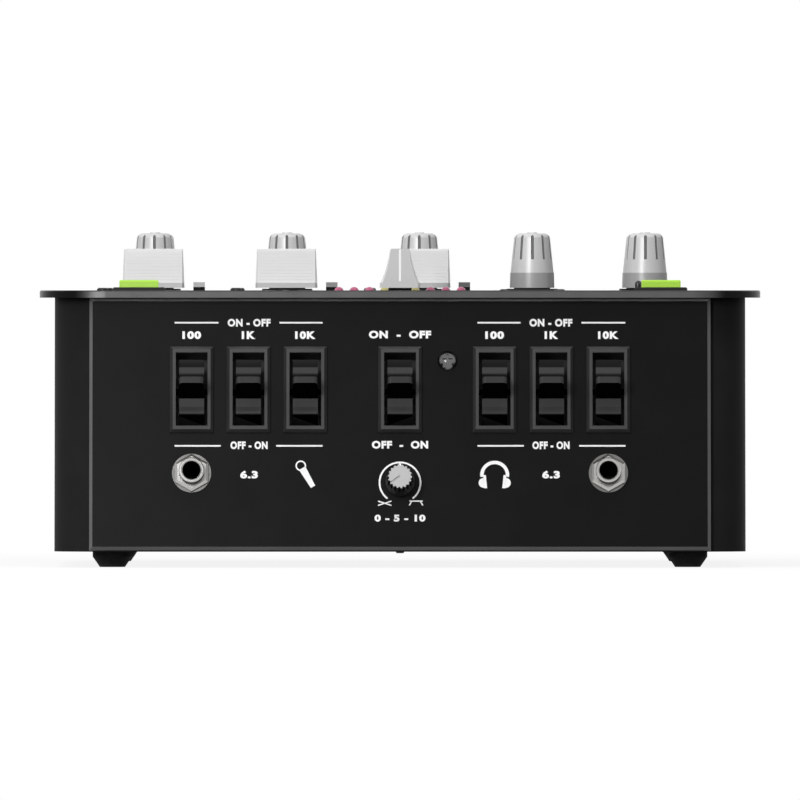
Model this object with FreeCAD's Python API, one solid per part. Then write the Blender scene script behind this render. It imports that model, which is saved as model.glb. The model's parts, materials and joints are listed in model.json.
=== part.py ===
import FreeCAD, Part
import math
import os

# A ten-inch table-top mixer: a folded case with a sloping front panel, a flat top plate
# that carries the faders and knobs, and a rear panel with the sockets.
# Millimetres and degrees. +X is right seen from the front, +Y is the rear, +Z is up.
# The origin is the middle of the footprint, on the surface that the feet stand on.
# A depth is measured from the front edge of the top plate towards the rear.
# On the front panel, up is measured along the slope from the lower edge of the panel,
# and out is measured square to the panel from its outer face.

V = FreeCAD.Vector

# Case
PLATE_WIDTH = 254.0
PLATE_DEPTH = 305.0
PLATE_THICK = 2.6
PLATE_OVERHANG = 5.3
PLATE_EDGE_BREAK = 0.4
BODY_HEIGHT = 89.3
BODY_CORNER_R = 18.0
WALL = 1.5
LIP_WIDTH = 12.0
WINDOW_MARGIN = 6.0

# Front panel and rear panel
PANEL_TILT = 10.5
PANEL_THICK = 2.0
PANEL_BEVEL = 1.1
PANEL_SIDE_INSET = 12.4
PANEL_EDGE_GAP = 0.1
PANEL_FOOT_GAP = 0.7
REAR_PANEL_THICK = 1.5

# Feet
FOOT_HEIGHT = 5.6
FOOT_R = 6.95
FOOT_TOE_R = 4.45
FOOT_BAND = 2.0
FOOT_STUD_R = 2.0
FOOT_STUD_RISE = 2.5
FOOT_INSET_X = 20.3
FOOT_INSET_Y = 24.0

# Columns and rows of controls on the top plate
CHANNELS = 3
MASTER_COLUMNS = 2
COLUMN_INSET_X = 39.5
CHANNEL_EXTRA_PITCH = 6.9
KNOB_ROWS = 3
KNOB_FIRST_DEPTH = 160.0
KNOB_ROW_PITCH = 38.0
FADER_DEPTH = 104.0
CROSSFADER_DEPTH = 34.0

# Knobs on the top plate
KNOB_BASE_R = 7.85
KNOB_BAND_TOP_R = 7.7
KNOB_WAIST_R = 7.55
KNOB_SHOULDER_R = 6.25
KNOB_CROWN_R = 3.95
KNOB_HEIGHT = 19.75
KNOB_BAND_HEIGHT = 5.4
KNOB_CROWN_HEIGHT = 1.8
KNOB_CENTRE_R = 1.7
KNOB_CENTRE_RISE = 0.3
KNOB_LIFT = 0.9
KNOB_HOLLOW_DEPTH = 3.0
KNOB_RIM = 1.2
KNOB_FLUTES = 10
KNOB_FLUTE_R = 0.5
KNOB_FLUTE_LENGTH = 9.6
KNOB_BORE_DEPTH = 13.0
RING_MARGIN = 1.0
RING_THICK = 0.6
RING_COLLAR_RISE = 0.9
DIAL_PLATE_R = 11.7
DIAL_PLATE_THICK = 0.45

# Clearance round every shaft and pin that turns
RUNNING_CLEAR = 0.05

# Pots under the top plate and behind the front panel
POT_WIDTH = 9.8
POT_DEPTH = 10.8
POT_SHAFT_R = 3.0
POT_BUSH_R = 3.6
POT_BUSH_CLEAR = 0.3
POT_TOP_GAP = 1.3
POT_FLOOR = 1.5

# Faders
FADER_STROKE = 45.0
FADER_CAP_LENGTH = 21.95
FADER_CAP_TOP_LENGTH = 20.75
FADER_CAP_WIDTH = 14.3
FADER_CAP_TOP_WIDTH = 7.1
FADER_CAP_HEIGHT = 13.8
FADER_CAP_LIFT = 0.9
FADER_LIP_HEIGHT = 1.8
FADER_LIP_STEP = 0.35
FADER_FLANK_HOLLOW = 0.45
FADER_TOP_BREAK = 0.7
FADER_END_BEVEL = 0.8
FADER_RIBS = 9
FADER_RIB_R = 0.05
STEM_WIDTH = 8.2
STEM_THICK = 1.25
STEM_GRIP = 8.0
SLOT_CLEAR = 0.5
CARRIAGE_LENGTH = 12.0
CARRIAGE_WIDTH = 8.0
CARRIAGE_HEIGHT = 5.0
CARRIAGE_CLEAR = 0.4
FADER_WALL = 1.2

# Boards, standoffs and the space between the plate and the main board
BOARD_DROP = 10.5
BOARD_THICK = 1.6
BOARD_SIDE_GAP = 0.4
BOARD_FRONT_GAP = 1.9
BOARD_REAR_GAP = 26.0
STANDOFF_R = 2.75
STANDOFF_OFFSET_X = -17.6
STANDOFF_DEPTHS = (64.0, 258.0)
BOARD_SCREW_R = 1.25
BOARD_SCREW_HEAD_R = 2.1
BOARD_SCREW_HEAD_HEIGHT = 0.9
BOARD_SCREW_BITE = 6.0
SCREW_CLEAR = 0.15

# Countersunk screws round the edge of the top plate
EDGE_SCREW_R = 1.5
EDGE_SCREW_HEAD_R = 2.9
EDGE_SCREW_HEAD_HEIGHT = 1.4
EDGE_SCREW_TAIL = 3.0
EDGE_SCREWS_PER_SIDE = 4
EDGE_SCREW_INSET_Y = 26.0

# Green buttons, square buttons and lamps
GREEN_INSET_X = 34.9
GREEN_WIDTH = 13.8
GREEN_DEPTH = 8.0
GREEN_RISE = 3.65
GREEN_EDGE_R = 0.6
GREEN_SKIRT = 4.5
GREEN_TRAVEL = 1.0
BEZEL_MARGIN = 2.0
BEZEL_HEIGHT = 1.1
BEZEL_BEVEL = 0.4
BUTTON_CLEAR = 0.3
SQUARE_OFFSET_X = 16.0
SQUARE_DEPTH = 142.0
SQUARE_WIDTH = 4.1
SQUARE_RISE = 2.9
SQUARE_CAP_HEIGHT = 1.7
SQUARE_SKIRT = 4.5
SQUARE_TRAVEL = 1.5
SWITCH_WIDTH = 6.0
SWITCH_GAP = 0.3
LAMPS = 9
LAMP_PITCH = 5.4
LAMP_DEPTH = 56.0
LAMP_R = 1.65
LAMP_RISE = 1.25
POWER_LAMP_R = 1.25
POWER_LAMP_RISE = 3.5
POWER_LAMP_OFFSET_X = -7.9
POWER_LAMP_DEPTH = 50.0
LAMP_CLEAR = 0.1

# Paddle rockers on the front panel
ROCKER_GROUP = 3
ROCKER_PITCH = 20.0
ROCKER_GROUP_INNER_X = 33.3
ROCKER_UP = 57.1
ROCKER_WIDTH = 8.8
ROCKER_HALF_LENGTH = 10.2
ROCKER_FIN_OUT = 11.5
ROCKER_FIN_TIP = 2.3
ROCKER_FIN_ROOT = 8.6
ROCKER_ROOT_OUT = 2.5
ROCKER_END_OUT = 2.55
ROCKER_DIP_OUT = 2.3
ROCKER_DIP_AT = 7.3
ROCKER_UPPER_END_OUT = 1.6
ROCKER_SCOOP = 2.6
ROCKER_END_BACK = 1.5
ROCKER_END_R = 1.5
ROCKER_HEEL_AT = 11.9
ROCKER_HEEL_BACK = 5.2
ROCKER_HUB_HALF = 4.0
ROCKER_HUB_BACK = 7.5
ROCKER_TIP_R = 1.3
ROCKER_PIVOT_BACK = 4.0
ROCKER_PIN_R = 1.0
ROCKER_REST_TILT = 6.0
FRAME_SIDE_GAP = 1.2
FRAME_END_GAP = 2.9
FRAME_RIM = 2.05
FRAME_END_RIM = 2.25
FRAME_PROUD = 2.0
FRAME_BEVEL = 1.0
HOUSING_WALL = 1.0
HOUSING_DEPTH = 14.5
HOUSING_FLOOR = 1.5
CUTOUT_CLEAR = 0.2
FRONT_BOARD_MARGIN_X = 12.0
FRONT_BOARD_MARGIN_UP = 1.5

# Jack sockets
JACK_UP = 27.3
JACK_BORE_R = 3.25
JACK_BORE_DEPTH = 30.0
JACK_BARREL_R = 4.45
JACK_PROUD = 7.4
JACK_MOUTH_BREAK = 0.4
JACK_RIM_BREAK = 0.35
JACK_BODY_WIDTH = 15.5
JACK_BODY_END = 3.0
JACK_NUT_FLATS = 11.6
JACK_NUT_THICK = 2.0
JACK_NUT_BREAK = 0.8
JACK_WASHER_R = 6.9
JACK_WASHER_THICK = 0.6
JACK_HOLE_CLEAR = 0.15

# Small knob on the front panel
CURVE_UP = 24.0
CURVE_KNOB_OUT = 12.7
CURVE_FACE_R = 4.2
CURVE_BASE_R = 5.1
CURVE_BASE_BAND = 2.4
CURVE_GAP = 0.6
CURVE_CAP_THICK = 0.8
CURVE_TEETH = 18
CURVE_TOOTH_R = 0.45
CURVE_POINTER = -127.0
CURVE_POINTER_WIDTH = 0.9
CURVE_POINTER_DEPTH = 0.5
CURVE_SHAFT_R = 2.0
CURVE_BORE_DEPTH = 8.0
CURVE_POT_DEPTH = 9.0

# Domed screw on the front panel, and the small screw under the front edge
DOME_SCREW_X = 16.7
DOME_SCREW_UP = 67.6
DOME_SCREW_HEAD_R = 3.4
DOME_SCREW_HEAD_HEIGHT = 2.4
DOME_SCREW_BAND = 0.6
DOME_SCREW_R = 1.5
DOME_SCREW_BITE = 7.0
FLOOR_SCREW_INSET = 12.0
FLOOR_SCREW_HEAD_R = 1.5
FLOOR_SCREW_HEAD_HEIGHT = 0.6
FLOOR_SCREW_R = 0.9
FLOOR_SCREW_TAIL = 3.0
PAN_HEAD_SLANT_SHARE = 0.5
RECESS_WIDTH_SHARE = 0.24
RECESS_LENGTH_SHARE = 1.15

# Sockets on the rear panel
PHONO_COLUMNS = 5
PHONO_ROWS = 2
PHONO_OFFSET_X = 30.0
PHONO_PITCH_X = 24.0
PHONO_MIDDLE_Z = 50.0
PHONO_PITCH_Z = 22.0
PHONO_R = 4.15
PHONO_WALL = 0.7
PHONO_LENGTH = 9.5
PHONO_FLANGE_R = 6.2
PHONO_FLANGE_THICK = 1.2
PHONO_INSERT_INSET = 0.8
PHONO_PIN_R = 1.65
PHONO_PIN_DEPTH = 7.5
PHONO_TAIL = 6.0
INLET_INSET_X = 29.25
INLET_R = 5.5
INLET_PROUD = 3.5
INLET_FLANGE_R = 7.2
INLET_FLANGE_THICK = 1.5
INLET_BORE_R = 2.9
INLET_BORE_DEPTH = 9.5
INLET_PIN_R = 1.05
INLET_PIN_SET_BACK = 1.0
INLET_FLOOR = 2.0
GROUND_INSET_X = 13.25
GROUND_HEAD_R = 5.0
GROUND_HEAD_LENGTH = 6.5
GROUND_TEETH = 20
GROUND_TOOTH_R = 0.4
GROUND_GAP = 1.2
GROUND_SHANK_R = 2.0
GROUND_TAIL = 6.0
REAR_SCREW_INSET_X = 5.0
REAR_SCREW_INSET_Z = 3.0
REAR_SCREW_COLUMNS = 3
REAR_SCREW_TAIL = 4.0

# Places that follow from the sizes above
BODY_HALF = PLATE_WIDTH / 2 - PLATE_OVERHANG
BODY_BOTTOM = FOOT_HEIGHT
BODY_TOP = BODY_BOTTOM + BODY_HEIGHT
PLATE_TOP = BODY_TOP + PLATE_THICK
BOARD_TOP = BODY_TOP - BOARD_DROP
LIP_EDGE = BODY_HALF - WALL - LIP_WIDTH
BODY_REAR = PLATE_DEPTH - PLATE_OVERHANG
PANEL_HALF = BODY_HALF - PANEL_SIDE_INSET
PANEL_BOTTOM = BODY_BOTTOM + PANEL_FOOT_GAP
COS_TILT = math.cos(math.radians(PANEL_TILT))
SIN_TILT = math.sin(math.radians(PANEL_TILT))
PANEL_LENGTH = (BODY_HEIGHT - PANEL_FOOT_GAP - PANEL_EDGE_GAP) / COS_TILT
COLUMN_FIRST_X = COLUMN_INSET_X - PLATE_WIDTH / 2
COLUMN_SPAN = PLATE_WIDTH - 2 * COLUMN_INSET_X
COLUMN_GAPS = CHANNELS + MASTER_COLUMNS - 1
MASTER_PITCH = (COLUMN_SPAN - (CHANNELS - 1) * CHANNEL_EXTRA_PITCH) / COLUMN_GAPS
CHANNEL_PITCH = MASTER_PITCH + CHANNEL_EXTRA_PITCH
CHANNEL_XS = [COLUMN_FIRST_X + CHANNEL_PITCH * i for i in range(CHANNELS)]
MASTER_XS = [CHANNEL_XS[-1] + MASTER_PITCH * (i + 1) for i in range(MASTER_COLUMNS)]
KNOB_DEPTHS = [KNOB_FIRST_DEPTH + KNOB_ROW_PITCH * i for i in range(KNOB_ROWS)]
GREEN_X = PLATE_WIDTH / 2 - GREEN_INSET_X
POWER_LAMP_X = GREEN_X + POWER_LAMP_OFFSET_X
ROCKER_GROUP_XS = [ROCKER_GROUP_INNER_X + ROCKER_PITCH * i for i in range(ROCKER_GROUP)]
ROCKER_XS = [-x for x in reversed(ROCKER_GROUP_XS)] + [0.0] + ROCKER_GROUP_XS
JACK_X = ROCKER_XS[-1]
FRAME_HALF_X = ROCKER_WIDTH / 2 + FRAME_SIDE_GAP
FRAME_HALF_UP = ROCKER_HALF_LENGTH + FRAME_END_GAP
GROUND_X = GROUND_INSET_X - PANEL_HALF
INLET_X = PANEL_HALF - INLET_INSET_X
PHONO_XS = [GROUND_X + PHONO_OFFSET_X + PHONO_PITCH_X * i for i in range(PHONO_COLUMNS)]
PHONO_ZS = [PHONO_MIDDLE_Z + PHONO_PITCH_Z * (i - (PHONO_ROWS - 1) / 2) for i in range(PHONO_ROWS)]
FADER_BODY_HALF_WIDTH = CARRIAGE_WIDTH / 2 + CARRIAGE_CLEAR + FADER_WALL
STANDOFF_XS = [x + STANDOFF_OFFSET_X for x in CHANNEL_XS]
SLOT_HALF_LENGTH = (FADER_STROKE + STEM_WIDTH) / 2 + SLOT_CLEAR
SLOT_HALF_WIDTH = STEM_THICK / 2 + SLOT_CLEAR


def panel_depth(z):
    """Depth of the front panel's outer face at a height."""
    return PLATE_OVERHANG - (BODY_TOP - z) * SIN_TILT / COS_TILT


# The small front knob reaches furthest forward, and the phono sockets furthest back
FRONT_REACH = (CURVE_KNOB_OUT * COS_TILT + CURVE_FACE_R * SIN_TILT
               - CURVE_UP * SIN_TILT - panel_depth(PANEL_BOTTOM))
REAR_REACH = BODY_REAR + REAR_PANEL_THICK + PHONO_LENGTH
PLATE_FRONT_Y = (FRONT_REACH - REAR_REACH) / 2
REAR_FACE_Y = PLATE_FRONT_Y + BODY_REAR + REAR_PANEL_THICK


def at_depth(depth):
    """Y of a depth measured from the front edge of the top plate."""
    return PLATE_FRONT_Y + depth


FRONT_PLACE = FreeCAD.Placement(
    V(0, at_depth(panel_depth(PANEL_BOTTOM)), PANEL_BOTTOM),
    FreeCAD.Rotation(V(1, 0, 0), -PANEL_TILT))


# Basic shapes

def box(x0, x1, y0, y1, z0, z1):
    return Part.makeBox(x1 - x0, y1 - y0, z1 - z0, V(x0, y0, z0))


def block(x, y, width, depth, z0, z1):
    return box(x - width / 2, x + width / 2, y - depth / 2, y + depth / 2, z0, z1)


def rod(radius, x, y, z0, z1):
    return Part.makeCylinder(radius, z1 - z0, V(x, y, z0))


def prism(points, direction):
    return Part.Face(Part.makePolygon(points + points[:1])).extrude(direction)


def turned(points):
    """A solid turned about the Z axis from its half outline of (radius, height) points."""
    outline = Part.makePolygon([V(r, 0, z) for r, z in points + points[:1]])
    return Part.Face(outline).revolve(V(0, 0, 0), V(0, 0, 1), 360)


def domed(radius, z0, z1, rise):
    """A round post with a domed end, part of a ball whose middle is on its axis."""
    ball_r = (radius ** 2 + rise ** 2) / (2 * rise)
    ball_z = z1 + rise - ball_r
    half_way = math.atan2(radius, z1 - ball_z) / 2
    middle = V(ball_r * math.sin(half_way), 0, ball_z + ball_r * math.cos(half_way))
    edges = [
        Part.LineSegment(V(0, 0, z0), V(radius, 0, z0)),
        Part.LineSegment(V(radius, 0, z0), V(radius, 0, z1)),
        Part.Arc(V(radius, 0, z1), middle, V(0, 0, z1 + rise)),
        Part.LineSegment(V(0, 0, z1 + rise), V(0, 0, z0)),
    ]
    outline = Part.Wire([edge.toShape() for edge in edges])
    return Part.Face(outline).revolve(V(0, 0, 0), V(0, 0, 1), 360)


def moved(shape, x=0.0, y=0.0, z=0.0):
    copy = shape.copy()
    copy.translate(V(x, y, z))
    return copy


def spun(shape, axis, angle):
    """A copy turned about an axis through the origin."""
    copy = shape.copy()
    copy.rotate(V(0, 0, 0), axis, angle)
    return copy


def facing_front(shape):
    """A copy of an upright shape turned so that its top points out of the front panel."""
    return spun(shape, V(1, 0, 0), 90)


def facing_rear(shape):
    """A copy of an upright shape turned so that its top points to the rear."""
    return spun(shape, V(1, 0, 0), -90)


def on_front(shape):
    """A copy moved from the panel's own frame to its place on the slope."""
    copy = shape.copy()
    copy.Placement = FRONT_PLACE.multiply(copy.Placement)
    return copy


def round_places(count, radius, first_angle=0):
    """Points evenly spaced round a circle about the Z axis."""
    angles = [math.radians(first_angle + 360 / count * i) for i in range(count)]
    return [(radius * math.cos(angle), radius * math.sin(angle)) for angle in angles]


def edges_along(shape, axis):
    chosen = []
    for edge in shape.Edges:
        span = edge.Vertexes[-1].Point - edge.Vertexes[0].Point
        if span.Length > 0 and abs(span.normalize().dot(axis)) > 0.9999:
            chosen.append(edge)
    return chosen


def edges_at(shape, axis, place):
    """Straight or curved edges that lie wholly in a plane across an axis."""
    return [edge for edge in shape.Edges
            if all(abs(vertex.Point.dot(axis) - place) < 1e-6 for vertex in edge.Vertexes)]


def cross_recess(head_r, top, depth):
    """The two crossed blades of a driver's recess in a screw head."""
    length = head_r * RECESS_LENGTH_SHARE
    width = head_r * RECESS_WIDTH_SHARE
    return [block(0, 0, length, width, top - depth, top + depth),
            block(0, 0, width, length, top - depth, top + depth)]


# Case

def body_profile(front_inset, floor, rear, top):
    """Side outline of the case as a list of points on the middle plane."""
    shift = (PANEL_THICK + front_inset) / COS_TILT
    return [V(0, at_depth(panel_depth(floor) + shift), floor),
            V(0, at_depth(rear), floor),
            V(0, at_depth(rear), top),
            V(0, at_depth(panel_depth(top) + shift), top)]


def body_block(inset, top, half_width):
    """The case's outer form, drawn in by a wall and rounded at its four upright corners."""
    points = body_profile(inset, BODY_BOTTOM + inset, BODY_REAR - inset, top)
    solid = moved(prism(points, V(2 * half_width, 0, 0)), x=-half_width)
    slope_axis = V(0, SIN_TILT, COS_TILT)
    corners = edges_along(solid, slope_axis) + edges_along(solid, V(0, 0, 1))
    return solid.makeFillet(BODY_CORNER_R - inset, corners)


def chassis_tray():
    solid = body_block(0, BODY_TOP, BODY_HALF)
    inside = body_block(WALL, BODY_TOP - WALL, BODY_HALF - WALL)
    mouth = body_profile(WALL, BODY_TOP - 2 * WALL, BODY_REAR - WALL, BODY_TOP + WALL)
    mouth = moved(prism(mouth, V(2 * LIP_EDGE, 0, 0)), x=-LIP_EDGE)
    front_window = on_front(box(
        WINDOW_MARGIN - PANEL_HALF, PANEL_HALF - WINDOW_MARGIN,
        0, PANEL_THICK + 2 * WALL,
        WINDOW_MARGIN, PANEL_LENGTH - WINDOW_MARGIN))
    rear_window = box(
        WINDOW_MARGIN - PANEL_HALF, PANEL_HALF - WINDOW_MARGIN,
        at_depth(BODY_REAR - 2 * WALL), at_depth(BODY_REAR + WALL),
        PANEL_BOTTOM + WINDOW_MARGIN, BODY_TOP - PANEL_EDGE_GAP - WINDOW_MARGIN)
    holes = [rod(FOOT_STUD_R, x, y, BODY_BOTTOM - WALL, BODY_BOTTOM + 2 * WALL) for x, y in foot_places()]
    holes += [rod(EDGE_SCREW_R, x, y, BODY_TOP - 2 * WALL, BODY_TOP + WALL) for x, y in edge_screw_places()]
    holes += [moved(facing_rear(rod(BOARD_SCREW_R, 0, 0, -2 * WALL, WALL)), x, at_depth(BODY_REAR), z)
              for x, z in rear_screw_places()]
    x, y = floor_screw_place()
    holes.append(rod(FLOOR_SCREW_R, x, y, BODY_BOTTOM - WALL, BODY_BOTTOM + 2 * WALL))
    return [solid.cut([inside, mouth, front_window, rear_window] + holes)]


def top_plate():
    half = PLATE_WIDTH / 2
    solid = box(-half, half, at_depth(0), at_depth(PLATE_DEPTH), BODY_TOP, PLATE_TOP)
    solid = solid.makeFillet(BODY_CORNER_R + PLATE_OVERHANG, edges_along(solid, V(0, 0, 1)))
    solid = solid.makeChamfer(PLATE_EDGE_BREAK, edges_at(solid, V(0, 0, 1), PLATE_TOP))
    low = BODY_TOP - PLATE_THICK
    high = PLATE_TOP + PLATE_THICK
    cuts = [rod(POT_BUSH_R + POT_BUSH_CLEAR, x, y, low, high) for x, y in knob_places().values()]
    cuts += [block(x, at_depth(FADER_DEPTH), 2 * SLOT_HALF_WIDTH, 2 * SLOT_HALF_LENGTH, low, high)
             for x in CHANNEL_XS]
    cuts.append(block(0, at_depth(CROSSFADER_DEPTH), 2 * SLOT_HALF_LENGTH, 2 * SLOT_HALF_WIDTH, low, high))
    for x in (-GREEN_X, GREEN_X):
        cuts.append(block(x, at_depth(CROSSFADER_DEPTH), GREEN_WIDTH + 2 * BUTTON_CLEAR,
                          GREEN_DEPTH + 2 * BUTTON_CLEAR, low, high))
    for x, y in square_places():
        width = SQUARE_WIDTH + 2 * BUTTON_CLEAR
        cuts.append(block(x, y, width, width, low, high))
    for x, y, radius in lamp_places():
        cuts.append(rod(radius + LAMP_CLEAR, x, y, low, high))
    for x, y in standoff_places():
        cuts.append(rod(BOARD_SCREW_R + SCREW_CLEAR, x, y, low, high))
    for x, y in edge_screw_places():
        cuts.append(moved(edge_screw(), x, y, PLATE_TOP))
    return [solid.cut(cuts)]


def front_panel():
    solid = box(-PANEL_HALF, PANEL_HALF, 0, PANEL_THICK, 0, PANEL_LENGTH)
    solid = solid.makeChamfer(PANEL_BEVEL, edges_at(solid, V(0, 1, 0), 0))
    cuts = []
    for x in ROCKER_XS:
        half_x = FRAME_HALF_X + HOUSING_WALL + CUTOUT_CLEAR
        half_up = FRAME_HALF_UP + HOUSING_WALL + CUTOUT_CLEAR
        cuts.append(box(x - half_x, x + half_x, -PANEL_THICK, 2 * PANEL_THICK,
                        ROCKER_UP - half_up, ROCKER_UP + half_up))
    drills = [(x, JACK_UP, JACK_BARREL_R + JACK_HOLE_CLEAR) for x in (-JACK_X, JACK_X)]
    drills.append((0, CURVE_UP, POT_BUSH_R + POT_BUSH_CLEAR))
    drills.append((DOME_SCREW_X, DOME_SCREW_UP, DOME_SCREW_R + SCREW_CLEAR))
    for x, up, radius in drills:
        cuts.append(moved(facing_front(rod(radius, 0, 0, -2 * PANEL_THICK, PANEL_THICK)), x, 0, up))
    return [on_front(solid.cut(cuts))]


def rear_panel():
    face = at_depth(BODY_REAR)
    solid = box(-PANEL_HALF, PANEL_HALF, face, REAR_FACE_Y, PANEL_BOTTOM, BODY_TOP - PANEL_EDGE_GAP)
    drills = [(x, z, PHONO_R - PHONO_WALL) for x in PHONO_XS for z in PHONO_ZS]
    drills.append((INLET_X, PHONO_MIDDLE_Z, INLET_R))
    drills.append((GROUND_X, PHONO_MIDDLE_Z, GROUND_SHANK_R + RUNNING_CLEAR))
    drills += [(x, z, BOARD_SCREW_R + SCREW_CLEAR) for x, z in rear_screw_places()]
    reach = 2 * REAR_PANEL_THICK
    cuts = [moved(facing_rear(rod(radius, 0, 0, -reach, reach)), x, REAR_FACE_Y, z)
            for x, z, radius in drills]
    return [solid.cut(cuts)]


def foot_places():
    x = BODY_HALF - FOOT_INSET_X
    return [(sign * x, at_depth(depth)) for depth in (FOOT_INSET_Y, PLATE_DEPTH - FOOT_INSET_Y)
            for sign in (-1, 1)]


def rubber_feet():
    top = FOOT_HEIGHT
    foot = turned([(0, 0), (FOOT_TOE_R, 0), (FOOT_R, top - FOOT_BAND), (FOOT_R, top),
                   (FOOT_STUD_R, top), (FOOT_STUD_R, top + FOOT_STUD_RISE), (0, top + FOOT_STUD_RISE)])
    return [moved(foot, x, y) for x, y in foot_places()]


# Screws

def edge_screw_places():
    x = (BODY_HALF - WALL + LIP_EDGE) / 2
    step = (PLATE_DEPTH - 2 * EDGE_SCREW_INSET_Y) / (EDGE_SCREWS_PER_SIDE - 1)
    return [(sign * x, at_depth(EDGE_SCREW_INSET_Y + step * i))
            for sign in (-1, 1) for i in range(EDGE_SCREWS_PER_SIDE)]


def edge_screw():
    """A countersunk screw whose flat top is at the origin."""
    tail = -(PLATE_THICK + EDGE_SCREW_TAIL)
    return turned([(0, tail), (EDGE_SCREW_R, tail), (EDGE_SCREW_R, -EDGE_SCREW_HEAD_HEIGHT),
                   (EDGE_SCREW_HEAD_R, 0), (0, 0)])


def top_plate_screws():
    screw = edge_screw()
    screw = screw.cut(cross_recess(EDGE_SCREW_HEAD_R, 0, EDGE_SCREW_HEAD_HEIGHT / 2))
    return [moved(screw, x, y, PLATE_TOP) for x, y in edge_screw_places()]


def pan_screw(head_r, head_height, shank_r, tail):
    """A pan-head screw seated at the origin."""
    slant = head_height * PAN_HEAD_SLANT_SHARE
    solid = turned([(0, -tail), (shank_r, -tail), (shank_r, 0), (head_r, 0), (head_r, head_height - slant),
                    (head_r - slant, head_height), (0, head_height)])
    return solid.cut(cross_recess(head_r, head_height, head_height / 2))


def standoff_places():
    return [(x, at_depth(depth)) for x in STANDOFF_XS for depth in STANDOFF_DEPTHS]


def rear_screw_places():
    half = PANEL_HALF - REAR_SCREW_INSET_X
    step = 2 * half / (REAR_SCREW_COLUMNS - 1)
    low = PANEL_BOTTOM + REAR_SCREW_INSET_Z
    high = BODY_TOP - PANEL_EDGE_GAP - REAR_SCREW_INSET_Z
    return [(-half + step * i, z) for z in (low, high) for i in range(REAR_SCREW_COLUMNS)]


def floor_screw_place():
    return 0.0, at_depth(panel_depth(BODY_BOTTOM)) + FLOOR_SCREW_INSET


def pan_head_screws():
    plate_screw = pan_screw(BOARD_SCREW_HEAD_R, BOARD_SCREW_HEAD_HEIGHT, BOARD_SCREW_R,
                            PLATE_THICK + BOARD_SCREW_BITE)
    screws = [moved(plate_screw, x, y, PLATE_TOP) for x, y in standoff_places()]
    rear_screw = pan_screw(BOARD_SCREW_HEAD_R, BOARD_SCREW_HEAD_HEIGHT, BOARD_SCREW_R,
                           REAR_PANEL_THICK + REAR_SCREW_TAIL)
    screws += [moved(facing_rear(rear_screw), x, REAR_FACE_Y, z) for x, z in rear_screw_places()]
    floor_screw = pan_screw(FLOOR_SCREW_HEAD_R, FLOOR_SCREW_HEAD_HEIGHT, FLOOR_SCREW_R,
                            WALL + FLOOR_SCREW_TAIL)
    x, y = floor_screw_place()
    screws.append(moved(spun(floor_screw, V(1, 0, 0), 180), x, y, BODY_BOTTOM))
    return screws


def front_panel_screw():
    head = domed(DOME_SCREW_HEAD_R, 0, DOME_SCREW_BAND, DOME_SCREW_HEAD_HEIGHT - DOME_SCREW_BAND)
    shank = rod(DOME_SCREW_R, 0, 0, -PANEL_THICK - DOME_SCREW_BITE, 0)
    screw = head.fuse(shank)
    screw = screw.cut(cross_recess(DOME_SCREW_HEAD_R, DOME_SCREW_HEAD_HEIGHT, DOME_SCREW_HEAD_HEIGHT / 2))
    return [on_front(moved(facing_front(screw), DOME_SCREW_X, 0, DOME_SCREW_UP))]


# Boards

def main_board():
    half = LIP_EDGE - BOARD_SIDE_GAP
    front_stack = (HOUSING_DEPTH + BOARD_THICK) / COS_TILT + BOARD_FRONT_GAP
    front = at_depth(panel_depth(BOARD_TOP) + front_stack)
    rear = at_depth(PLATE_DEPTH - BOARD_REAR_GAP)
    return [box(-half, half, front, rear, BOARD_TOP - BOARD_THICK, BOARD_TOP)]


def front_board():
    half_x = ROCKER_XS[-1] + FRAME_HALF_X + FRONT_BOARD_MARGIN_X
    half_up = FRAME_HALF_UP + HOUSING_WALL + FRONT_BOARD_MARGIN_UP
    board = box(-half_x, half_x, HOUSING_DEPTH, HOUSING_DEPTH + BOARD_THICK,
                ROCKER_UP - half_up, ROCKER_UP + half_up)
    return [on_front(board)]


def board_standoffs():
    post = rod(STANDOFF_R, 0, 0, BOARD_TOP, BODY_TOP)
    post = post.cut(rod(BOARD_SCREW_R, 0, 0, BODY_TOP - BOARD_SCREW_BITE, BODY_TOP))
    posts = [moved(post, x, y) for x, y in standoff_places()]
    front_post = rod(STANDOFF_R, 0, 0, -HOUSING_DEPTH, -PANEL_THICK)
    front_post = front_post.cut(rod(DOME_SCREW_R, 0, 0, -PANEL_THICK - DOME_SCREW_BITE, -PANEL_THICK))
    posts.append(on_front(moved(facing_front(front_post), DOME_SCREW_X, 0, DOME_SCREW_UP)))
    return posts


# Knobs and pots

def knob_places():
    """Name and place of every knob on the top plate."""
    bands = ("low", "mid", "high")
    masters = ("phones", "master")
    places = {}
    for row, depth in enumerate(KNOB_DEPTHS):
        for column, x in enumerate(CHANNEL_XS):
            places[f"channel_{column + 1}_{bands[row]}_knob"] = (x, at_depth(depth))
        for column, x in enumerate(MASTER_XS):
            places[f"{masters[column]}_knob_{row + 1}"] = (x, at_depth(depth))
    return places


def flute(angle):
    """A round groove that follows the taper of a knob's side."""
    waist_z = KNOB_BAND_HEIGHT
    shoulder_z = KNOB_HEIGHT - KNOB_CROWN_HEIGHT
    taper = (KNOB_WAIST_R - KNOB_SHOULDER_R) / (shoulder_z - waist_z)
    start_z = KNOB_HEIGHT - KNOB_FLUTE_LENGTH
    start_r = KNOB_SHOULDER_R + taper * (shoulder_z - start_z)
    groove = Part.makeCylinder(KNOB_FLUTE_R, 2 * KNOB_FLUTE_LENGTH, V(start_r, 0, start_z), V(-taper, 0, 1))
    return spun(groove, V(0, 0, 1), angle)


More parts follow.
